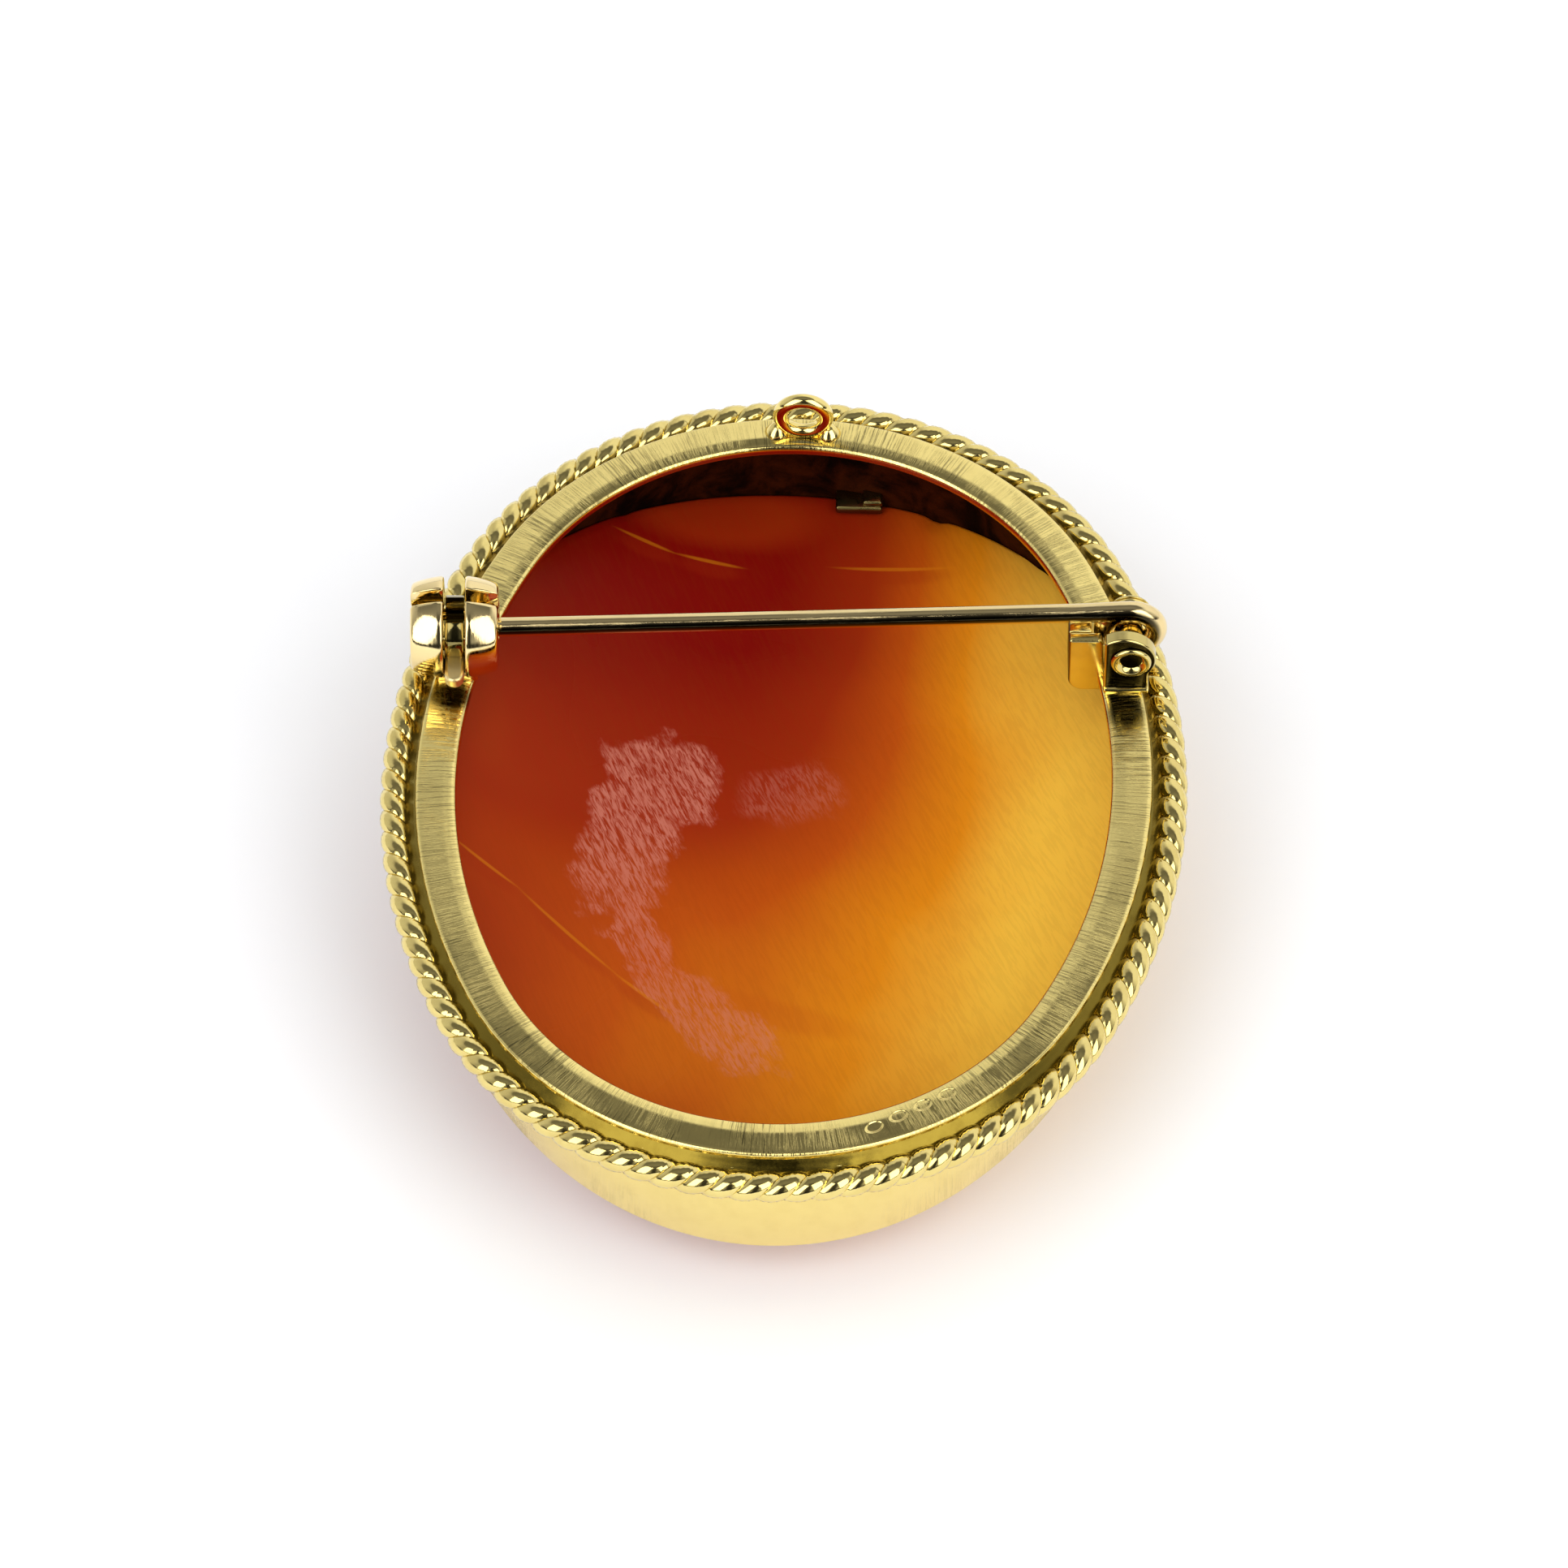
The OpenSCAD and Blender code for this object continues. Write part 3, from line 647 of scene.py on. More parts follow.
def shade_film_surface(f):
    """Brown cement and tarnish, almost black in places."""
    place = f.coords("Object", IN_MM)
    cloud = f.noise(place, 0.45, detail=5.0, rough=0.65, distort=0.5)
    return {
        "Base Color": f.mix(f.ramp(cloud, 0.35, 0.68), (0.0035, 0.0012, 0.0005), (0.040, 0.0075, 0.0015)),
        "Roughness": f.ramp(cloud, 0.3, 0.7, 0.6, 0.45),
        "Normal": f.bump(f.noise(place, 3.0, detail=4.0, rough=0.6), strength=0.4, distance=0.05),
        "Specular IOR Level": 0.03,
    }


def carving_surface(f):
    """The pale layer of the shell, with a little brown left in its hollows."""
    place = f.coords("Object", IN_MM)
    cloud = f.noise(place, 0.5, detail=4.0, rough=0.6)
    brown = scaled(colours().shell_amber, 0.8)
    return {
        "Base Color": f.mix(f.ramp(cloud, 0.5, 0.75, 0.0, 0.35), colours().carving, brown),
        "Roughness": f.ramp(cloud, 0.3, 0.7, 0.28, 0.42),
        "Normal": f.bump(f.noise(place, 6.0), strength=0.15, distance=0.05),
        "Subsurface Weight": 0.1,
        "Subsurface Scale": 0.001,
    }


def floor_surface(f):
    return {"Base Color": (*colours().floor, 1.0), "Roughness": 0.9, "Specular IOR Level": 0.2}


# ---------------------------------------------------------------- bezel


# offsets from the band's outer edge and heights from its top: the round of the edge, the slightly domed
# flat, and the round at the hollow
BAND_TOP = [
    (0.0, -0.26), (-0.02, -0.17), (-0.07, -0.10), (-0.15, -0.065), (-0.25, -0.050), (-0.45, -0.041),
    (-0.75, -0.026), (-1.05, -0.012), (-1.22, -0.004), (-1.32, 0.0), (-1.42, -0.004), (-1.60, -0.014),
    (-1.78, -0.026), (-1.88, -0.05), (-1.96, -0.10), (-2.02, -0.18),
]
# the seat that carries the rope, from its foot up to the band
ROPE_SEAT = [
    (0.1, -2.0), (0.1, -1.93), (0.12, -1.88), (0.36, -1.66), (0.40, -1.60), (0.40, -0.82), (0.36, -0.76),
    (0.30, -0.75), (0.06, -0.75), (0.0, -0.69),
]


def band_profile(s, shape, foot):
    """The section of the band, the rope seat, the wall and its lip, from the band's edge and top."""
    wall, lip = shape.wall_in, shape.wall_in - 0.5
    lip_top = foot + shape.lip_h
    edge = [(-s.rim_w, -0.30), (-s.rim_w, -0.52), (-2.0, -0.61), (-1.93, -s.rim_t)]
    inner = [(wall - 0.08, -s.rim_t), (wall, -s.rim_t - 0.08), (wall, lip_top + 0.3), (wall, lip_top)]
    inner += [(lip + 0.06, lip_top), (lip, lip_top - 0.06), (lip, foot + 0.10), (lip + 0.03, foot + 0.03)]
    outer = [(lip + 0.10, foot), (0.0, foot), (0.07, foot + 0.03), (0.1, foot + 0.10)]
    return BAND_TOP + edge + inner + outer + ROPE_SEAT


def make_band(s, shape):
    def section(a):
        foot = shape.wall_foot(*shape.oval.local(a, -shape.wall_out)) - shape.band_z
        return [(n, shape.band_z + z) for n, z in band_profile(s, shape, foot)]

    band = swept("bezel", shape.oval, section, 480, 50)
    dress(band, MAIN_BODY, "gold", gold("scratched_gold"), "setting")


def make_lining(s, shape):
    """The dark brown film of old cement on the inside of the wall, over the shell's edge."""
    sunk, film, over_shell = 0.02, 0.06, 0.3
    outer = shape.wall_in + sunk
    inner = outer - film
    high = shape.band_z - s.rim_t + sunk

    def section(a):
        low = shape.front(*shape.oval.local(a, inner)) + over_shell
        return [(outer, low), (inner, low), (inner, high), (outer, high)]

    lining = swept("wall_lining", shape.oval, section, 240, 50)
    dress(lining, MAIN_BODY, "gold", finish("shade_film", shade_film_surface))


def make_lug(s, shape):
    """The stepped keeper block on the inside of the wall, over the shell's edge."""
    lug_x, w, reach, h, into_wall = 2.9, 2.4, 1.1, 0.8, 0.2
    y_wall = s.band_l / 2 + shape.wall_in - lug_x**2 / (2 * s.end_r)
    z = shape.back(lug_x, y_wall) + shape.gap
    place = Matrix.Rotation(shape.oval.turn, 4, "Z") @ Matrix.Translation((lug_x, y_wall - reach, z))
    far = reach + into_wall
    base = [(-w / 2, 0), (w / 2, 0), (w / 2, far), (-w / 2, far)]
    step = [(w * 0.08, 0.15), (w / 2, 0.15), (w / 2, far), (w * 0.08, far)]
    parts = [
        prism("lug", base, 0.0, h * 0.62, place, 0.12, 2),
        prism("lug_top", step, h * 0.5, h, place, 0.12, 2),
    ]
    dress(join("keeper_block", parts), MAIN_BODY, "gold", gold("shaded_dull_gold"))


# ---------------------------------------------------------------- rope and bail


def make_rope(s, shape):
    """Two strands twisted round each other, flattened a little where they are worn."""
    oval = shape.oval
    from_edge, lay, spread, worn_at = 0.30, 2.66, 1.30, 0.475
    line = from_edge + s.rope_d / 2
    total = oval.length(line)
    turns = round(total / lay)
    per_turn, sides = 26, 12
    steps = turns * per_turn
    strand_r, throw = s.rope_d * 0.272, s.rope_d * 0.236
    slant = math.atan2(2 * math.pi * throw, total / turns)
    strands = []
    for strand in (0, 1):
        rings = []
        for i in range(steps):
            run = total * i / steps
            twist = 2 * math.pi * turns * i / steps + strand * math.pi
            n0, z0 = throw * math.cos(twist), throw * math.sin(twist)
            ring = []
            for k in range(sides):
                a = 2 * math.pi * k / sides
                # the strand's section lies square to its own slanting run
                out, across = strand_r * math.cos(a), strand_r * spread * math.sin(a)
                n = n0 + out * math.cos(twist) - across * math.cos(slant) * math.sin(twist)
                z = z0 + out * math.sin(twist) + across * math.cos(slant) * math.cos(twist)
                here = oval.direction(run - across * math.sin(slant), line)
                height = shape.band_z - s.rope_drop + min(z, s.rope_d * worn_at)
                ring.append((*oval.turned(*oval.local(here, line + n)), height))
            rings.append(ring)
        strands.append(loft("strand", rings, 70, loop=True))
    dress(join("rope_border_wire", strands), MAIN_BODY, "rope_gold", gold("twisted_gold"), "rope_border")


# offsets and heights of the solder's section, from its foot under the rope up to the band; the middle part
# lies a little unevenly
SOLDER_FOOT = [(0.02, -2.02), (0.60, -1.98), (0.98, -1.88), (1.0, -1.70), (0.90, -1.45)]
SOLDER_FACE = [(0.72, -1.20), (0.60, -1.02), (0.50, -0.90), (0.40, -0.78), (0.26, -0.66)]
SOLDER_TOP = [(0.12, -0.52), (0.02, -0.40), (-0.04, -0.36), (-0.04, -1.0)]


def make_solder(s, shape):
    """The solder that fills the corner between the wall and the rope."""
    unevenness, lumps = 0.03, 30

    def section(a):
        rough = unevenness * noise.noise(Vector((math.cos(a) * lumps, math.sin(a) * lumps, 2.0)))
        outline = SOLDER_FOOT + [(n, z + rough) for n, z in SOLDER_FACE] + SOLDER_TOP
        return [(n, shape.band_z + z) for n, z in outline]

    solder = swept("rope_solder", shape.oval, section, 360, 60)
    dress(solder, MAIN_BODY, "gold", gold("solder_gold"))


def make_bail(s, shape):
    """A small ring that stands on the band between two beads of solder."""
    outer, wire, sink = 3.1, 0.75, 0.25
    bead_in, bead_sink, lump_scale, lump = 0.22, 0.05, 1600, 0.05
    dome = [(0.62, 0.0), (0.60, 0.08), (0.52, 0.2), (0.42, 0.36), (0.30, 0.5)]
    dome += [(0.16, 0.58), (0.02, 0.6), (0.02, 0.0)]
    x, y = shape.oval.turned(0, s.band_l / 2 - s.rim_w / 2)
    turn = Matrix.Rotation(shape.oval.turn, 4, "Z")
    middle = Matrix.Translation((x, y, shape.band_z + outer / 2 - sink))
    circle = round_corner((outer - wire) / 2, 0, wire / 2, 0, 360, 20)[:-1]
    # without a seed the lumps on the beads would come out differently at each run
    noise.seed_set(1)
    parts = [lathe("bail", circle, middle @ turn @ Matrix.Rotation(math.pi / 2, 4, "X"), 72, 80)]
    for side in (-1, 1):
        foot = Matrix.Translation((x, y, shape.band_z - bead_sink)) @ turn
        bead = lathe("bead", dome, foot @ Matrix.Translation((side * (outer / 2 - bead_in), 0, 0)), 28, 80)
        for v in bead.data.vertices:
            v.co += noise.noise_vector(v.co * lump_scale) * lump * MM
        parts.append(bead)
    dress(join("bail_ring", parts), MAIN_BODY, "gold", gold("polished_gold"))


# ---------------------------------------------------------------- hinge and pin


# the two sides of the ears, from the pivot
EAR_LEFT = -1.32
EAR_RIGHT = EAR_LEFT + 2.2
EAR_FRONT, EAR_BACK = 2.15, 1.15
EAR_FOOT = -0.1


def upright_at(z):
    """A matrix that stands an outline up across the pin, with its depth towards the near side."""
    return Matrix.Translation((PIVOT.x, PIVOT.y, z)) @ Matrix.Rotation(math.pi / 2, 4, "X")


def ear_outline(s, radius, lean):
    """The side view of the front ear: straight up on the left, and round over the top to a narrower foot."""
    start = -math.degrees(math.acos(min(1.0, (EAR_RIGHT - lean) / radius)))
    end = 180 - math.degrees(math.acos(min(1.0, (lean - EAR_LEFT) / radius)))
    head = round_corner(lean, s.pivot_h, radius, start + 7, end, 32)
    neck = max(0.4, head[0][1] - 0.16)
    foot = [(EAR_RIGHT, EAR_FOOT), (EAR_RIGHT, neck - 0.25), (EAR_RIGHT + 0.02, neck)]
    return foot + head + [(EAR_LEFT, EAR_FOOT)]


def make_ears(s, shape):
    """The large ear in front of the pin's eye, the small one behind it, and their plate."""
    front_r, front_t, lean = 1.6, 0.75, -0.35
    rear_r, rear_t = 1.0, 0.5
    upright = upright_at(shape.band_z)
    ear = prism("front_ear", ear_outline(s, front_r, lean), EAR_FRONT - front_t, EAR_FRONT, upright, 0.13, 4)
    dress(ear, MAIN_BODY, "gold", gold("shaded_gold"))
    rear = [(EAR_RIGHT, EAR_FOOT)] + round_corner(0, s.pivot_h, rear_r, -40, 180, 24)
    rear += [(-rear_r, 0.9), (EAR_LEFT, 0.5), (EAR_LEFT, EAR_FOOT)]
    left, right, near = EAR_LEFT - 0.04, EAR_RIGHT + 0.04, -EAR_FRONT - 0.16
    plate = [(left, near), (right, near), (right, EAR_BACK), (left, EAR_BACK)]
    flat = Matrix.Translation((PIVOT.x, PIVOT.y, shape.band_z))
    parts = [
        prism("rear_ear", rear, -EAR_BACK, rear_t - EAR_BACK, upright, 0.08, 2),
        prism("plate", plate, EAR_FOOT, 0.2, flat, 0.1, 3),
    ]
    dress(join("hinge_ears", parts), MAIN_BODY, "gold", gold("polished_gold"))


def make_stop_block(s, shape):
    """The block that the closed pin bears on, hollowed behind its cheek to clear the turning eye."""
    from_pivot, length, width, height, drop, corner_r = 3.1, 1.6, 2.4, 2.75, 1.2, 0.8
    eye_clear, cheek, overlap = 1.97, 0.62, 0.02
    left, right = -from_pivot, length - from_pivot
    hollow = []
    for i in range(25):
        a = math.radians(2 + i * 4.0)
        x, z = -eye_clear * math.sin(a), s.pivot_h - eye_clear * math.cos(a)
        if x < right and z < height:
            hollow.append((x, z))
    corner = round_corner(left + corner_r, corner_r - drop, corner_r, 185, 265, 8)
    outside = [(left, height), (left, corner_r - drop)] + corner
    behind = [(right, -drop), (right, hollow[0][1] - 0.05)] + hollow + [(hollow[-1][0], height)] + outside
    ear = EAR_LEFT + 0.02
    before = [(ear, -drop), (ear, height - 0.35), (EAR_LEFT - 0.2, height)] + outside
    upright = upright_at(shape.band_z)
    blocks = [
        prism("stop_back", behind, -width / 2, cheek, upright, 0.08, 2),
        prism("stop_front", before, cheek - overlap, width / 2, upright, 0.15, 4),
    ]
    dress(join("stop_block", blocks), MAIN_BODY, "gold", gold("block_gold"))


def make_rivet(s, shape):
    """A tube through both ears, with both its ends flared, and the dark film down its bore."""
    shank, bore, head, flare = 0.63, 0.43, 1.02, 0.2

    def flared_end(face):
        end = face + flare
        mouth = [(bore, end - 0.5), (bore + 0.06, end - 0.3), (bore + 0.18, end - 0.13)]
        lip = [(bore + 0.34, end - 0.03), (0.86, end), (0.93, end - 0.02), (0.99, end - 0.07)]
        return mouth + lip + [(head, end - 0.13), (head, face + 0.02), (head - 0.02, face), (shank, face)]

    profile = flared_end(EAR_FRONT + 0.03) + [(r, -z) for r, z in reversed(flared_end(EAR_BACK + 0.03))]
    place = upright_at(PIVOT.z)
    rivet = lathe("hollow_rivet", profile, place, 56, 50)
    dress(rivet, MAIN_BODY, "gold", gold("rivet_gold"), "hinge_rivet")
    # painted shade: a near-black film lines the bore
    film = [(bore - 0.03, 2.0), (bore - 0.01, 2.0), (bore - 0.01, -1.0), (bore - 0.03, -1.0)]
    dress(lathe("rivet_bore", film, place, 32, 50), MAIN_BODY, "gold", finish("shade_film", shade_film_surface))


def make_pin(s, shape):
    """One wire: the eye goes round the rivet, leaves it at the top, and runs down to the point in the catch."""
    eye_wire, eye_d, eye_degrees, eye_steps = 1.1, 3.7, 336, 52
    tip_r, point, point_r, end_in, taper, neck_l = 0.33, 2.2, 0.04, 0.42, 2.5, 1.8
    stem_steps, sides = 90, 28
    eye_r, stem_r = eye_wire / 2, s.stem_d / 2
    eye_line = (eye_d - eye_wire) / 2
    span = PIVOT.x - CATCH.x
    dip = math.asin(eye_line / span)
    to_catch = math.sqrt(span**2 - eye_line**2)
    end, neck = to_catch + s.drum_l / 2 - end_in, to_catch - s.drum_l / 2
    points = []
    for i in range(eye_steps):
        a = math.radians(90 - math.degrees(dip) - eye_degrees * (1 - i / eye_steps))
        points.append((PIVOT.x + eye_line * math.cos(a), PIVOT.z + eye_line * math.sin(a), eye_r))
    top_x, top_z = PIVOT.x - eye_line * math.sin(dip), PIVOT.z + eye_line * math.cos(dip)
    for i in range(stem_steps + 1):
        run = end * i / stem_steps
        r = stem_r + (eye_r - stem_r) * max(0.0, 1 - run / taper)
        # the wire is drawn thinner where it goes into the catch
        r -= (stem_r - tip_r) * (1 - math.cos(math.pi * min(1.0, max(0.0, (run - neck) / neck_l)))) / 2
        left = end - run
        if left < point:
            r = min(r, point_r + tip_r * math.sin(left / point * math.pi / 2))
        points.append((top_x - math.cos(dip) * run, top_z - math.sin(dip) * run, r))
    rings = []
    for i, (x, z, r) in enumerate(points):
        a, b = points[max(i - 1, 0)], points[min(i + 1, len(points) - 1)]
        t = Vector((b[0] - a[0], 0, b[1] - a[1])).normalized()
        ring = []
        for k in range(sides):
            out, side = r * math.cos(2 * math.pi * k / sides), r * math.sin(2 * math.pi * k / sides)
            ring.append((x - out * t.z, PIVOT.y + side, z + out * t.x))
        rings.append(ring)
    dress(loft("pin_wire", rings, 60), "pin", "pin_gold", gold("drawn_gold"), "pin")


# ---------------------------------------------------------------- catch


def dome_radius(s, x):
    """The drum's radius at a distance from its middle."""
    middle_r, end_r = s.drum_d / 2 + 0.1, 2.18
    bulge = arc_radius(s.drum_l / 2, middle_r - end_r)
    return middle_r - bulge + math.sqrt(bulge**2 - x * x)


def make_catch(s, shape):
    """The barrel of the catch: two domed cheeks on either side of the lever's slot, on one foot."""
    slot, bore, mouth, raised = 1.1, 1.2, 0.4, 0.1
    soft, end_r, end_l = 0.14, 0.28, 0.20
    inner, outer = slot / 2, s.drum_l / 2
    r_in, r_out = dome_radius(s, inner + soft), dome_radius(s, outer - soft)
    profile = [(bore, inner + 0.03), (bore, outer - 0.06), (bore + 0.05, outer), (r_out - end_r, outer)]
    for a in map(math.radians, (20, 40, 60, 80)):
        profile.append((r_out - end_r + end_r * math.sin(a), outer - end_l + end_l * math.cos(a)))
    for share in (0.8, 0.65, 0.5, 0.35, 0.2):
        x = inner + (outer - inner) * share
        profile.append((dome_radius(s, x), x))
    for a in map(math.radians, (10, 30, 50, 70, 90)):
        profile.append((r_in - soft + soft * math.cos(a), inner + soft - soft * math.sin(a)))
    profile.append((bore + 0.04, inner))
    place = Matrix.Translation((0, 0, raised)) @ Matrix.Translation(CATCH)
    foot_low = -0.1
    parts = []
    for side in (-1, 1):
        cheek = open_tube("cheek", [(r, side * x) for r, x in profile], mouth, place, 80, 45)
        # the cheeks reach no lower than their foot on the band
        floor_z = (shape.band_z + foot_low) * MM
        for v in cheek.data.vertices:
            v.co.z = max(v.co.z, floor_z)
        parts.append(bevelled(cheek, 0.07, 2, 50))
    foot = [(-0.9, -1.5), (1.15, -1.5), (1.15, 1.5), (-0.9, 1.5)]
    on_band = Matrix.Translation((CATCH.x, CATCH.y, shape.band_z))
    parts.append(prism("foot", foot, foot_low, 0.48, on_band, 0.1, 3))
    dress(join("catch_drum", parts), MAIN_BODY, "gold", gold("mirror_gold"))


def make_lever(s, shape):
    """The sleeve that turns in the barrel, the ring in its slot, and the thumb tab."""
    hole, sleeve, ring, mouth, ring_mouth = 0.68, 1.13, 1.65, 0.4, 0.83
    tab_w, reach, tab_t, drop, under = 0.96, 3.18, 0.7, 0.25, 0.05
    place = Matrix.Translation(CATCH)
    half, w = s.drum_l / 2, tab_w / 2
    parts = []
    for side in (-1, 1):
        near, far = side * w * 0.96, side * half
        soft = far - side * under
        section = [(hole, near), (hole, soft), (hole + under, far)]
        section += [(sleeve - under, far), (sleeve, soft), (sleeve, near)]
        parts.append(open_tube("sleeve", section, mouth, place, 64, 30))
    dress(join("lever_sleeve", parts), "catch_lever", "gold", gold("polished_gold"))
    half_section = [(hole + 0.02, w - 0.02), (ring - 0.08, w), (ring - 0.02, w - 0.03), (ring, w - 0.09)]
    section = [(r, -x) for r, x in half_section] + half_section[::-1]
    collar = open_tube("lever_ring", section, ring_mouth, place, 64, 30)
    dress(collar, "catch_lever", "gold", gold("slot_gold"), "catch_lever")
    outline = [(w, -0.9), (-w, -0.9)] + round_corner(0, w - reach, w, 180, 360, 12)
    tab = prism("lever_tab", outline, -drop - tab_t, -drop, place, 0.2, 5)
    dress(tab, "catch_lever", "gold", gold("tab_gold"))


# ---------------------------------------------------------------- shell


def shell_edge(oval, edge, around):
    """The points round the shell's edge, each with the depth of the chip there."""
    total = oval.length(edge)
    rng = random.Random(7)
    chips = [(rng.uniform(0, total), rng.uniform(0.5, 1.4), rng.uniform(0.05, 0.16)) for _ in range(14)]
    chips.append((total * 0.195, 0.8, 0.35))
    points = []
    for i in range(around):
        run = total * i / around
        chip = 0.0
        for at, width, depth in chips:
            d = abs((run - at + total / 2) % total - total / 2)
            if d < width:
                chip = max(chip, depth * (1 - d / width))
        points.append((*oval.local(oval.direction(run, edge), edge), chip))
    return points


def make_shell(s, shape):
    """The shell's body: the hollow back, the edge with its small chips, and the carved ground of the front."""
    around, inward, crowding = 300, 46, 0.85
    limit = shape.band_z - s.rim_t - shape.gap
    edge_points = shell_edge(shape.oval, shape.wall_in - shape.gap, around)
    rings = []

    def ring_at(share, height, chip_share=0.0):
        """A copy of the edge drawn in to a share of its size, at a height for each of its points."""
        ring = []
        for edge_x, edge_y, chip in edge_points:
            x, y = edge_x * share, edge_y * share
            ring.append((*shape.oval.turned(x, y), height(x, y) - chip * chip_share))
        rings.append(ring)

    def back(x, y):
        ripple = 0.02 * noise.noise(Vector((x * 0.35, y * 0.12, 0)))
        return min(shape.back(x, y) + ripple, limit)

    for i in range(1, inward + 1):
        chip_share = {inward: 1.0, inward - 1: 0.25}.get(i, 0.0)
        ring_at(0.992 * (i / inward) ** crowding, back, chip_share)
    # down the edge, from the back to the front, with its corners a little drawn in
    for share, t in ((0.998, 0.04), (1.0, 0.12), (1.0, 0.35), (1.0, 0.65), (1.0, 0.9), (0.998, 0.97)):
        chip_share = 1 - t if t < 0.3 else 0.0
        ring_at(share, lambda x, y: back(x, y) * (1 - t) + shape.front(x, y) * t, chip_share)
    for i in range(inward, 0, -1):
        ring_at(0.99 * (i / inward) ** crowding, shape.front)
    shell = finish("polished_shell", shell_surface)
    dress(loft("shell_body", rings, 60), MAIN_BODY, "shell", shell, "shell_cameo")


def turned_from(x, y, angle, distance):
    """A point along and across a direction, from a place at a distance in that direction."""
    c, s = math.cos(angle), math.sin(angle)
    dx, dy = x - distance * c, y - distance * s
    return dx * c + dy * s, -dx * s + dy * c


def petal_heights(x, y):
    """The heights over a point of the petals that reach it: shallow bowls with faint ribs."""
    middle, reach, bowl_r, plain, fade, rib, rib_rate = 6.5, 4.95, 5.0, 1.2, 1.5, 0.10, 3.4
    for i in range(6):
        along, across = turned_from(x, y, math.radians(60 * i), middle)
        d = math.hypot(along, across)
        if d < reach:
            z = bowl_r - math.sqrt(bowl_r**2 - d * d)
            if d > plain:
                z += rib * max(0.0, math.cos(across * rib_rate)) * min(1.0, (d - plain) / fade)
            yield z


def centre_heights(x, y):
    """The height over a point of the flower's round middle, where it reaches it."""
    reach, ball_r, raised = 3.45, 3.5, 0.35
    d = math.hypot(x, y)
    if d < reach:
        yield raised + ball_r - math.sqrt(ball_r**2 - d * d)


def leaf_heights(x, y, shape):
    """The heights over a point of the four leaves, each with a raised vein and faint ribs."""
    length, width, middle, lean, back_r, raised = 9.0, 4.4, 13.0, 25, 9.0, 0.7
    vein, vein_w, rib, rib_rate = 0.12, 0.18, 0.05, 5.5
    side_r = (length**2 + width**2) / (4 * width)
    low = shape.ground_z + bowl_rise(0, middle, shape.cross_r, shape.front_long_r) - raised
    for end in (90, 270):
        for side in (-1, 1):
            along, across = turned_from(x, y, math.radians(end + side * lean), middle)
            if abs(along) < length / 2 and math.hypot(along, abs(across) + side_r - width / 2) < side_r:
                z = low + back_r - math.sqrt(back_r**2 - along**2 - across**2)
                z += vein * math.exp(-((across / vein_w) ** 2))
                z += rib * max(0.0, math.cos((along + abs(across) * 1.2) * rib_rate))
                yield z


def make_carving(s, shape):
    """The pale flower and leaves in relief on the front."""
    step, reach, sunk, skirt = 0.16, 18.2, 0.14, 0.25
    count = int(2 * reach / step) + 1
    verts, index, faces = [], {}, []
    for i in range(count):
        for j in range(count):
            x, y = -reach + i * step, -reach + j * step
            if math.hypot(x, y) > reach:
                continue
            heights = [*petal_heights(x, y), *centre_heights(x, y), *leaf_heights(x, y, shape)]
            if heights and min(heights) <= shape.front(x, y) + sunk:
                tx, ty = shape.oval.turned(x, y)
                index[i, j] = len(verts)
                verts.append((tx * MM, ty * MM, min(heights) * MM))
    for (i, j), first in index.items():
        corners = [index.get(k) for k in ((i + 1, j), (i + 1, j + 1), (i, j + 1))]
        if None not in corners:
            faces.append((first, *corners))
    obj = mesh_object("carved_flower", verts, faces, smooth_angle=80)
    bm = bmesh.new()
    bm.from_mesh(obj.data)
    bmesh.ops.delete(bm, geom=[v for v in bm.verts if not v.link_faces], context="VERTS")
    for face in bm.faces:
        if face.normal.z > 0:
            face.normal_flip()
    # a skirt goes from the edge of the relief down into the shell
    grown = bmesh.ops.extrude_edge_only(bm, edges=[e for e in bm.edges if e.is_boundary])
    for v in [g for g in grown["geom"] if isinstance(g, bmesh.types.BMVert)]:
        v.co.z += skirt * MM
    bmesh.ops.recalc_face_normals(bm, faces=bm.faces)
    bm.to_mesh(obj.data)
    bm.free()
    obj.data.shade_smooth()
    dress(obj, MAIN_BODY, "shell", finish("carved_layer", carving_surface))


# ---------------------------------------------------------------- stage


LIGHTS = [
    ("left_softbox", (-0.42, -0.46, 0.44), (0.50, 0.85), 3.3, (1.0, 1.0, 1.0), True),
    ("right_softbox", (0.42, -0.46, 0.44), (0.50, 0.85), 3.3, (1.0, 0.99, 0.98), True),
    ("fill", (-0.06, 0.05, 0.90), (1.2, 1.2), 3.5, (1.0, 1.0, 1.0), False),
]
# the room's brightness against the sine of the height over the horizon
NEAR_MIDDLE = [(0.0, 0.02), (0.85, 0.05), (0.97, 0.12), (1.0, 0.25)]
NEAR_SIDES = [(0.0, 0.03), (0.13, 0.05), (0.24, 0.45), (0.90, 0.34), (1.0, 0.25)]
FAR_LEFT = [(0.0, 0.75), (0.60, 0.66), (0.74, 0.52), (0.81, 0.18), (0.92, 0.18), (1.0, 0.25)]
FAR_RIGHT = [(0.0, 1.0), (0.60, 1.05), (0.75, 1.0), (0.82, 0.16), (0.92, 0.18), (1.0, 0.25)]


def make_floor(s, shape):
    half = 1.5
    corners = [(-half, -half, 0), (half, -half, 0), (half, half, 0), (-half, half, 0)]
    floor = mesh_object("floor", corners, [(0, 1, 2, 3)])
    floor.data.materials.append(finish("pale_floor", floor_surface))


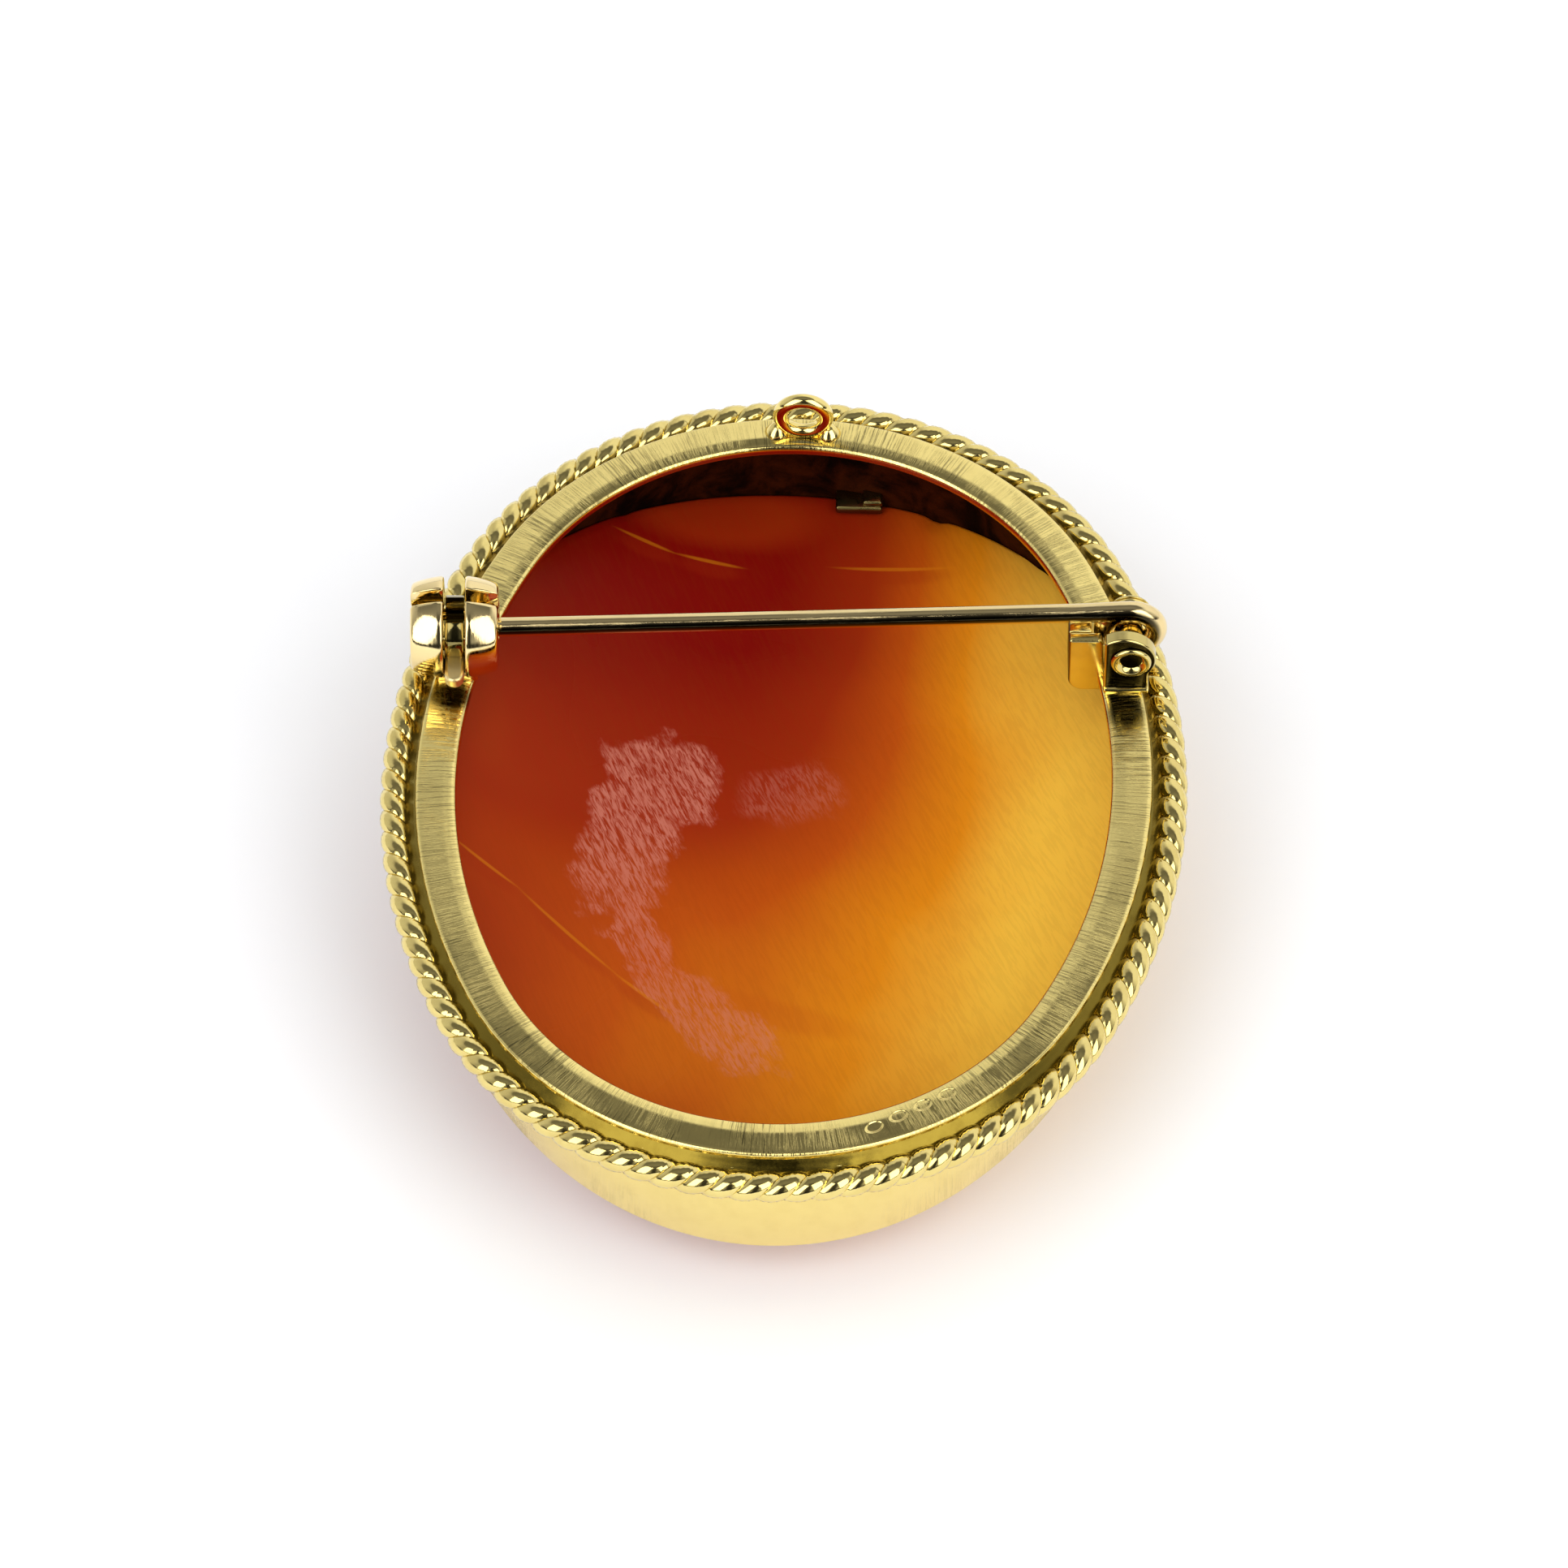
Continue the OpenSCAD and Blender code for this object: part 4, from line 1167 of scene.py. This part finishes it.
def make_camera(s, shape):
    """The camera looks down on the brooch from the near side, and aims just under the band's middle."""
    elevation, distance, aim_low = math.radians(51.7), 0.600, 0.00036
    sensor, focal_px, frame_px = 36.0, 14796, 1932
    look = Vector((0, math.cos(elevation), -math.sin(elevation)))
    up = Vector((0, math.sin(elevation), math.cos(elevation)))
    data = bpy.data.cameras.new("camera")
    data.sensor_width = sensor
    data.sensor_fit = "HORIZONTAL"
    data.lens = sensor * focal_px / frame_px
    data.clip_start, data.clip_end = 0.01, 10.0
    camera = bpy.data.objects.new("camera", data)
    camera.location = Vector((0, 0, shape.band_z * MM)) - up * aim_low - look * distance
    camera.rotation_euler = look.to_track_quat("-Z", "Y").to_euler()
    bpy.context.scene.collection.objects.link(camera)
    bpy.context.scene.camera = camera


def make_lights(s, shape):
    for name, spot, size, power, colour, mirrored in LIGHTS:
        data = bpy.data.lights.new(name, "AREA")
        data.shape = "RECTANGLE"
        data.size, data.size_y = size
        data.energy = power
        data.color = colour
        lamp = bpy.data.objects.new(name, data)
        lamp.location = spot
        lamp.visible_glossy = mirrored
        lamp.rotation_euler = (-Vector(spot)).to_track_quat("-Z", "Y").to_euler()
        bpy.context.scene.collection.objects.link(lamp)


def make_room(s, shape):
    """Beyond the brooch the room is bright up to about 50 degrees. On the near side it is dim, and darkest
    in the middle."""
    world = bpy.data.worlds.new("soft_room")
    bpy.context.scene.world = world
    world.use_nodes = True
    room = Nodes(world.node_tree)
    x, y, z = room.axes(room.node("ShaderNodeTexCoord").outputs["Generated"])

    def heights(pairs):
        return room.stops(z, [(at, (value,) * 3) for at, value in pairs])

    def across(value, low, high):
        return room.ramp(value, low, high, smooth=False)

    near = room.mix(across(room.math("ABSOLUTE", x), 0.12, 0.30), heights(NEAR_MIDDLE), heights(NEAR_SIDES))
    far = room.mix(across(x, -0.30, 0.05), heights(FAR_LEFT), heights(FAR_RIGHT))
    light = room.mix(across(y, -0.25, 0.15), near, far)
    room.link(light, world.node_tree.nodes["Background"].inputs["Color"])
    bpy.context.scene.view_settings.view_transform = "Standard"


# ---------------------------------------------------------------- operators


def operator(name, label, text, *builders):
    """An operator that makes one piece, or one group of like pieces."""

    def execute(self, context):
        s = sizes()
        shape = Shape(s)
        for build in builders:
            build(s, shape)
        return {"FINISHED"}

    body = {
        "bl_idname": "brooch." + name,
        "bl_label": label,
        "__doc__": text,
        "bl_options": {"REGISTER", "UNDO"},
        "execute": execute,
    }
    return type("BROOCH_OT_" + name, (bpy.types.Operator,), body)


OPERATORS = [
    operator("stage", "Stage", "Adds the floor, the camera, the lights and the room",
             make_floor, make_camera, make_lights, make_room),
    operator("bezel", "Bezel", "Adds the band, the wall, its lining and the keeper block",
             make_band, make_lining, make_lug),
    operator("rope", "Rope border", "Adds the twisted rope round the band and its solder",
             make_rope, make_solder),
    operator("bail", "Bail", "Adds the bail ring with its two solder beads", make_bail),
    operator("hinge", "Hinge", "Adds the ears, the stop block and the rivet",
             make_ears, make_stop_block, make_rivet),
    operator("pin", "Pin", "Adds the pin with its eye", make_pin),
    operator("catch", "Catch", "Adds the catch drum and its lever", make_catch, make_lever),
    operator("shell", "Shell", "Adds the shell and its carved flower", make_shell, make_carving),
]


class BROOCH_PT_pieces(bpy.types.Panel):
    bl_label = "Cameo brooch"
    bl_idname = "BROOCH_PT_pieces"
    bl_space_type = "VIEW_3D"
    bl_region_type = "UI"
    bl_category = "Brooch"

    def draw(self, context):
        for kind in OPERATORS:
            self.layout.operator(kind.bl_idname)
        for group in (context.scene.brooch_sizes, context.scene.brooch_colours):
            box = self.layout.box()
            for name in type(group).__annotations__:
                box.prop(group, name)


CLASSES = [BroochSizes, BroochColours, *OPERATORS, BROOCH_PT_pieces]


def register():
    for kind in CLASSES:
        bpy.utils.register_class(kind)
    bpy.types.Scene.brooch_sizes = bpy.props.PointerProperty(type=BroochSizes)
    bpy.types.Scene.brooch_colours = bpy.props.PointerProperty(type=BroochColours)


def unregister():
    del bpy.types.Scene.brooch_colours
    del bpy.types.Scene.brooch_sizes
    for kind in reversed(CLASSES):
        bpy.utils.unregister_class(kind)


def main():
    register()
    for kind in OPERATORS:
        section, name = kind.bl_idname.split(".")
        getattr(getattr(bpy.ops, section), name)()


if __name__ == "__main__":
    main()
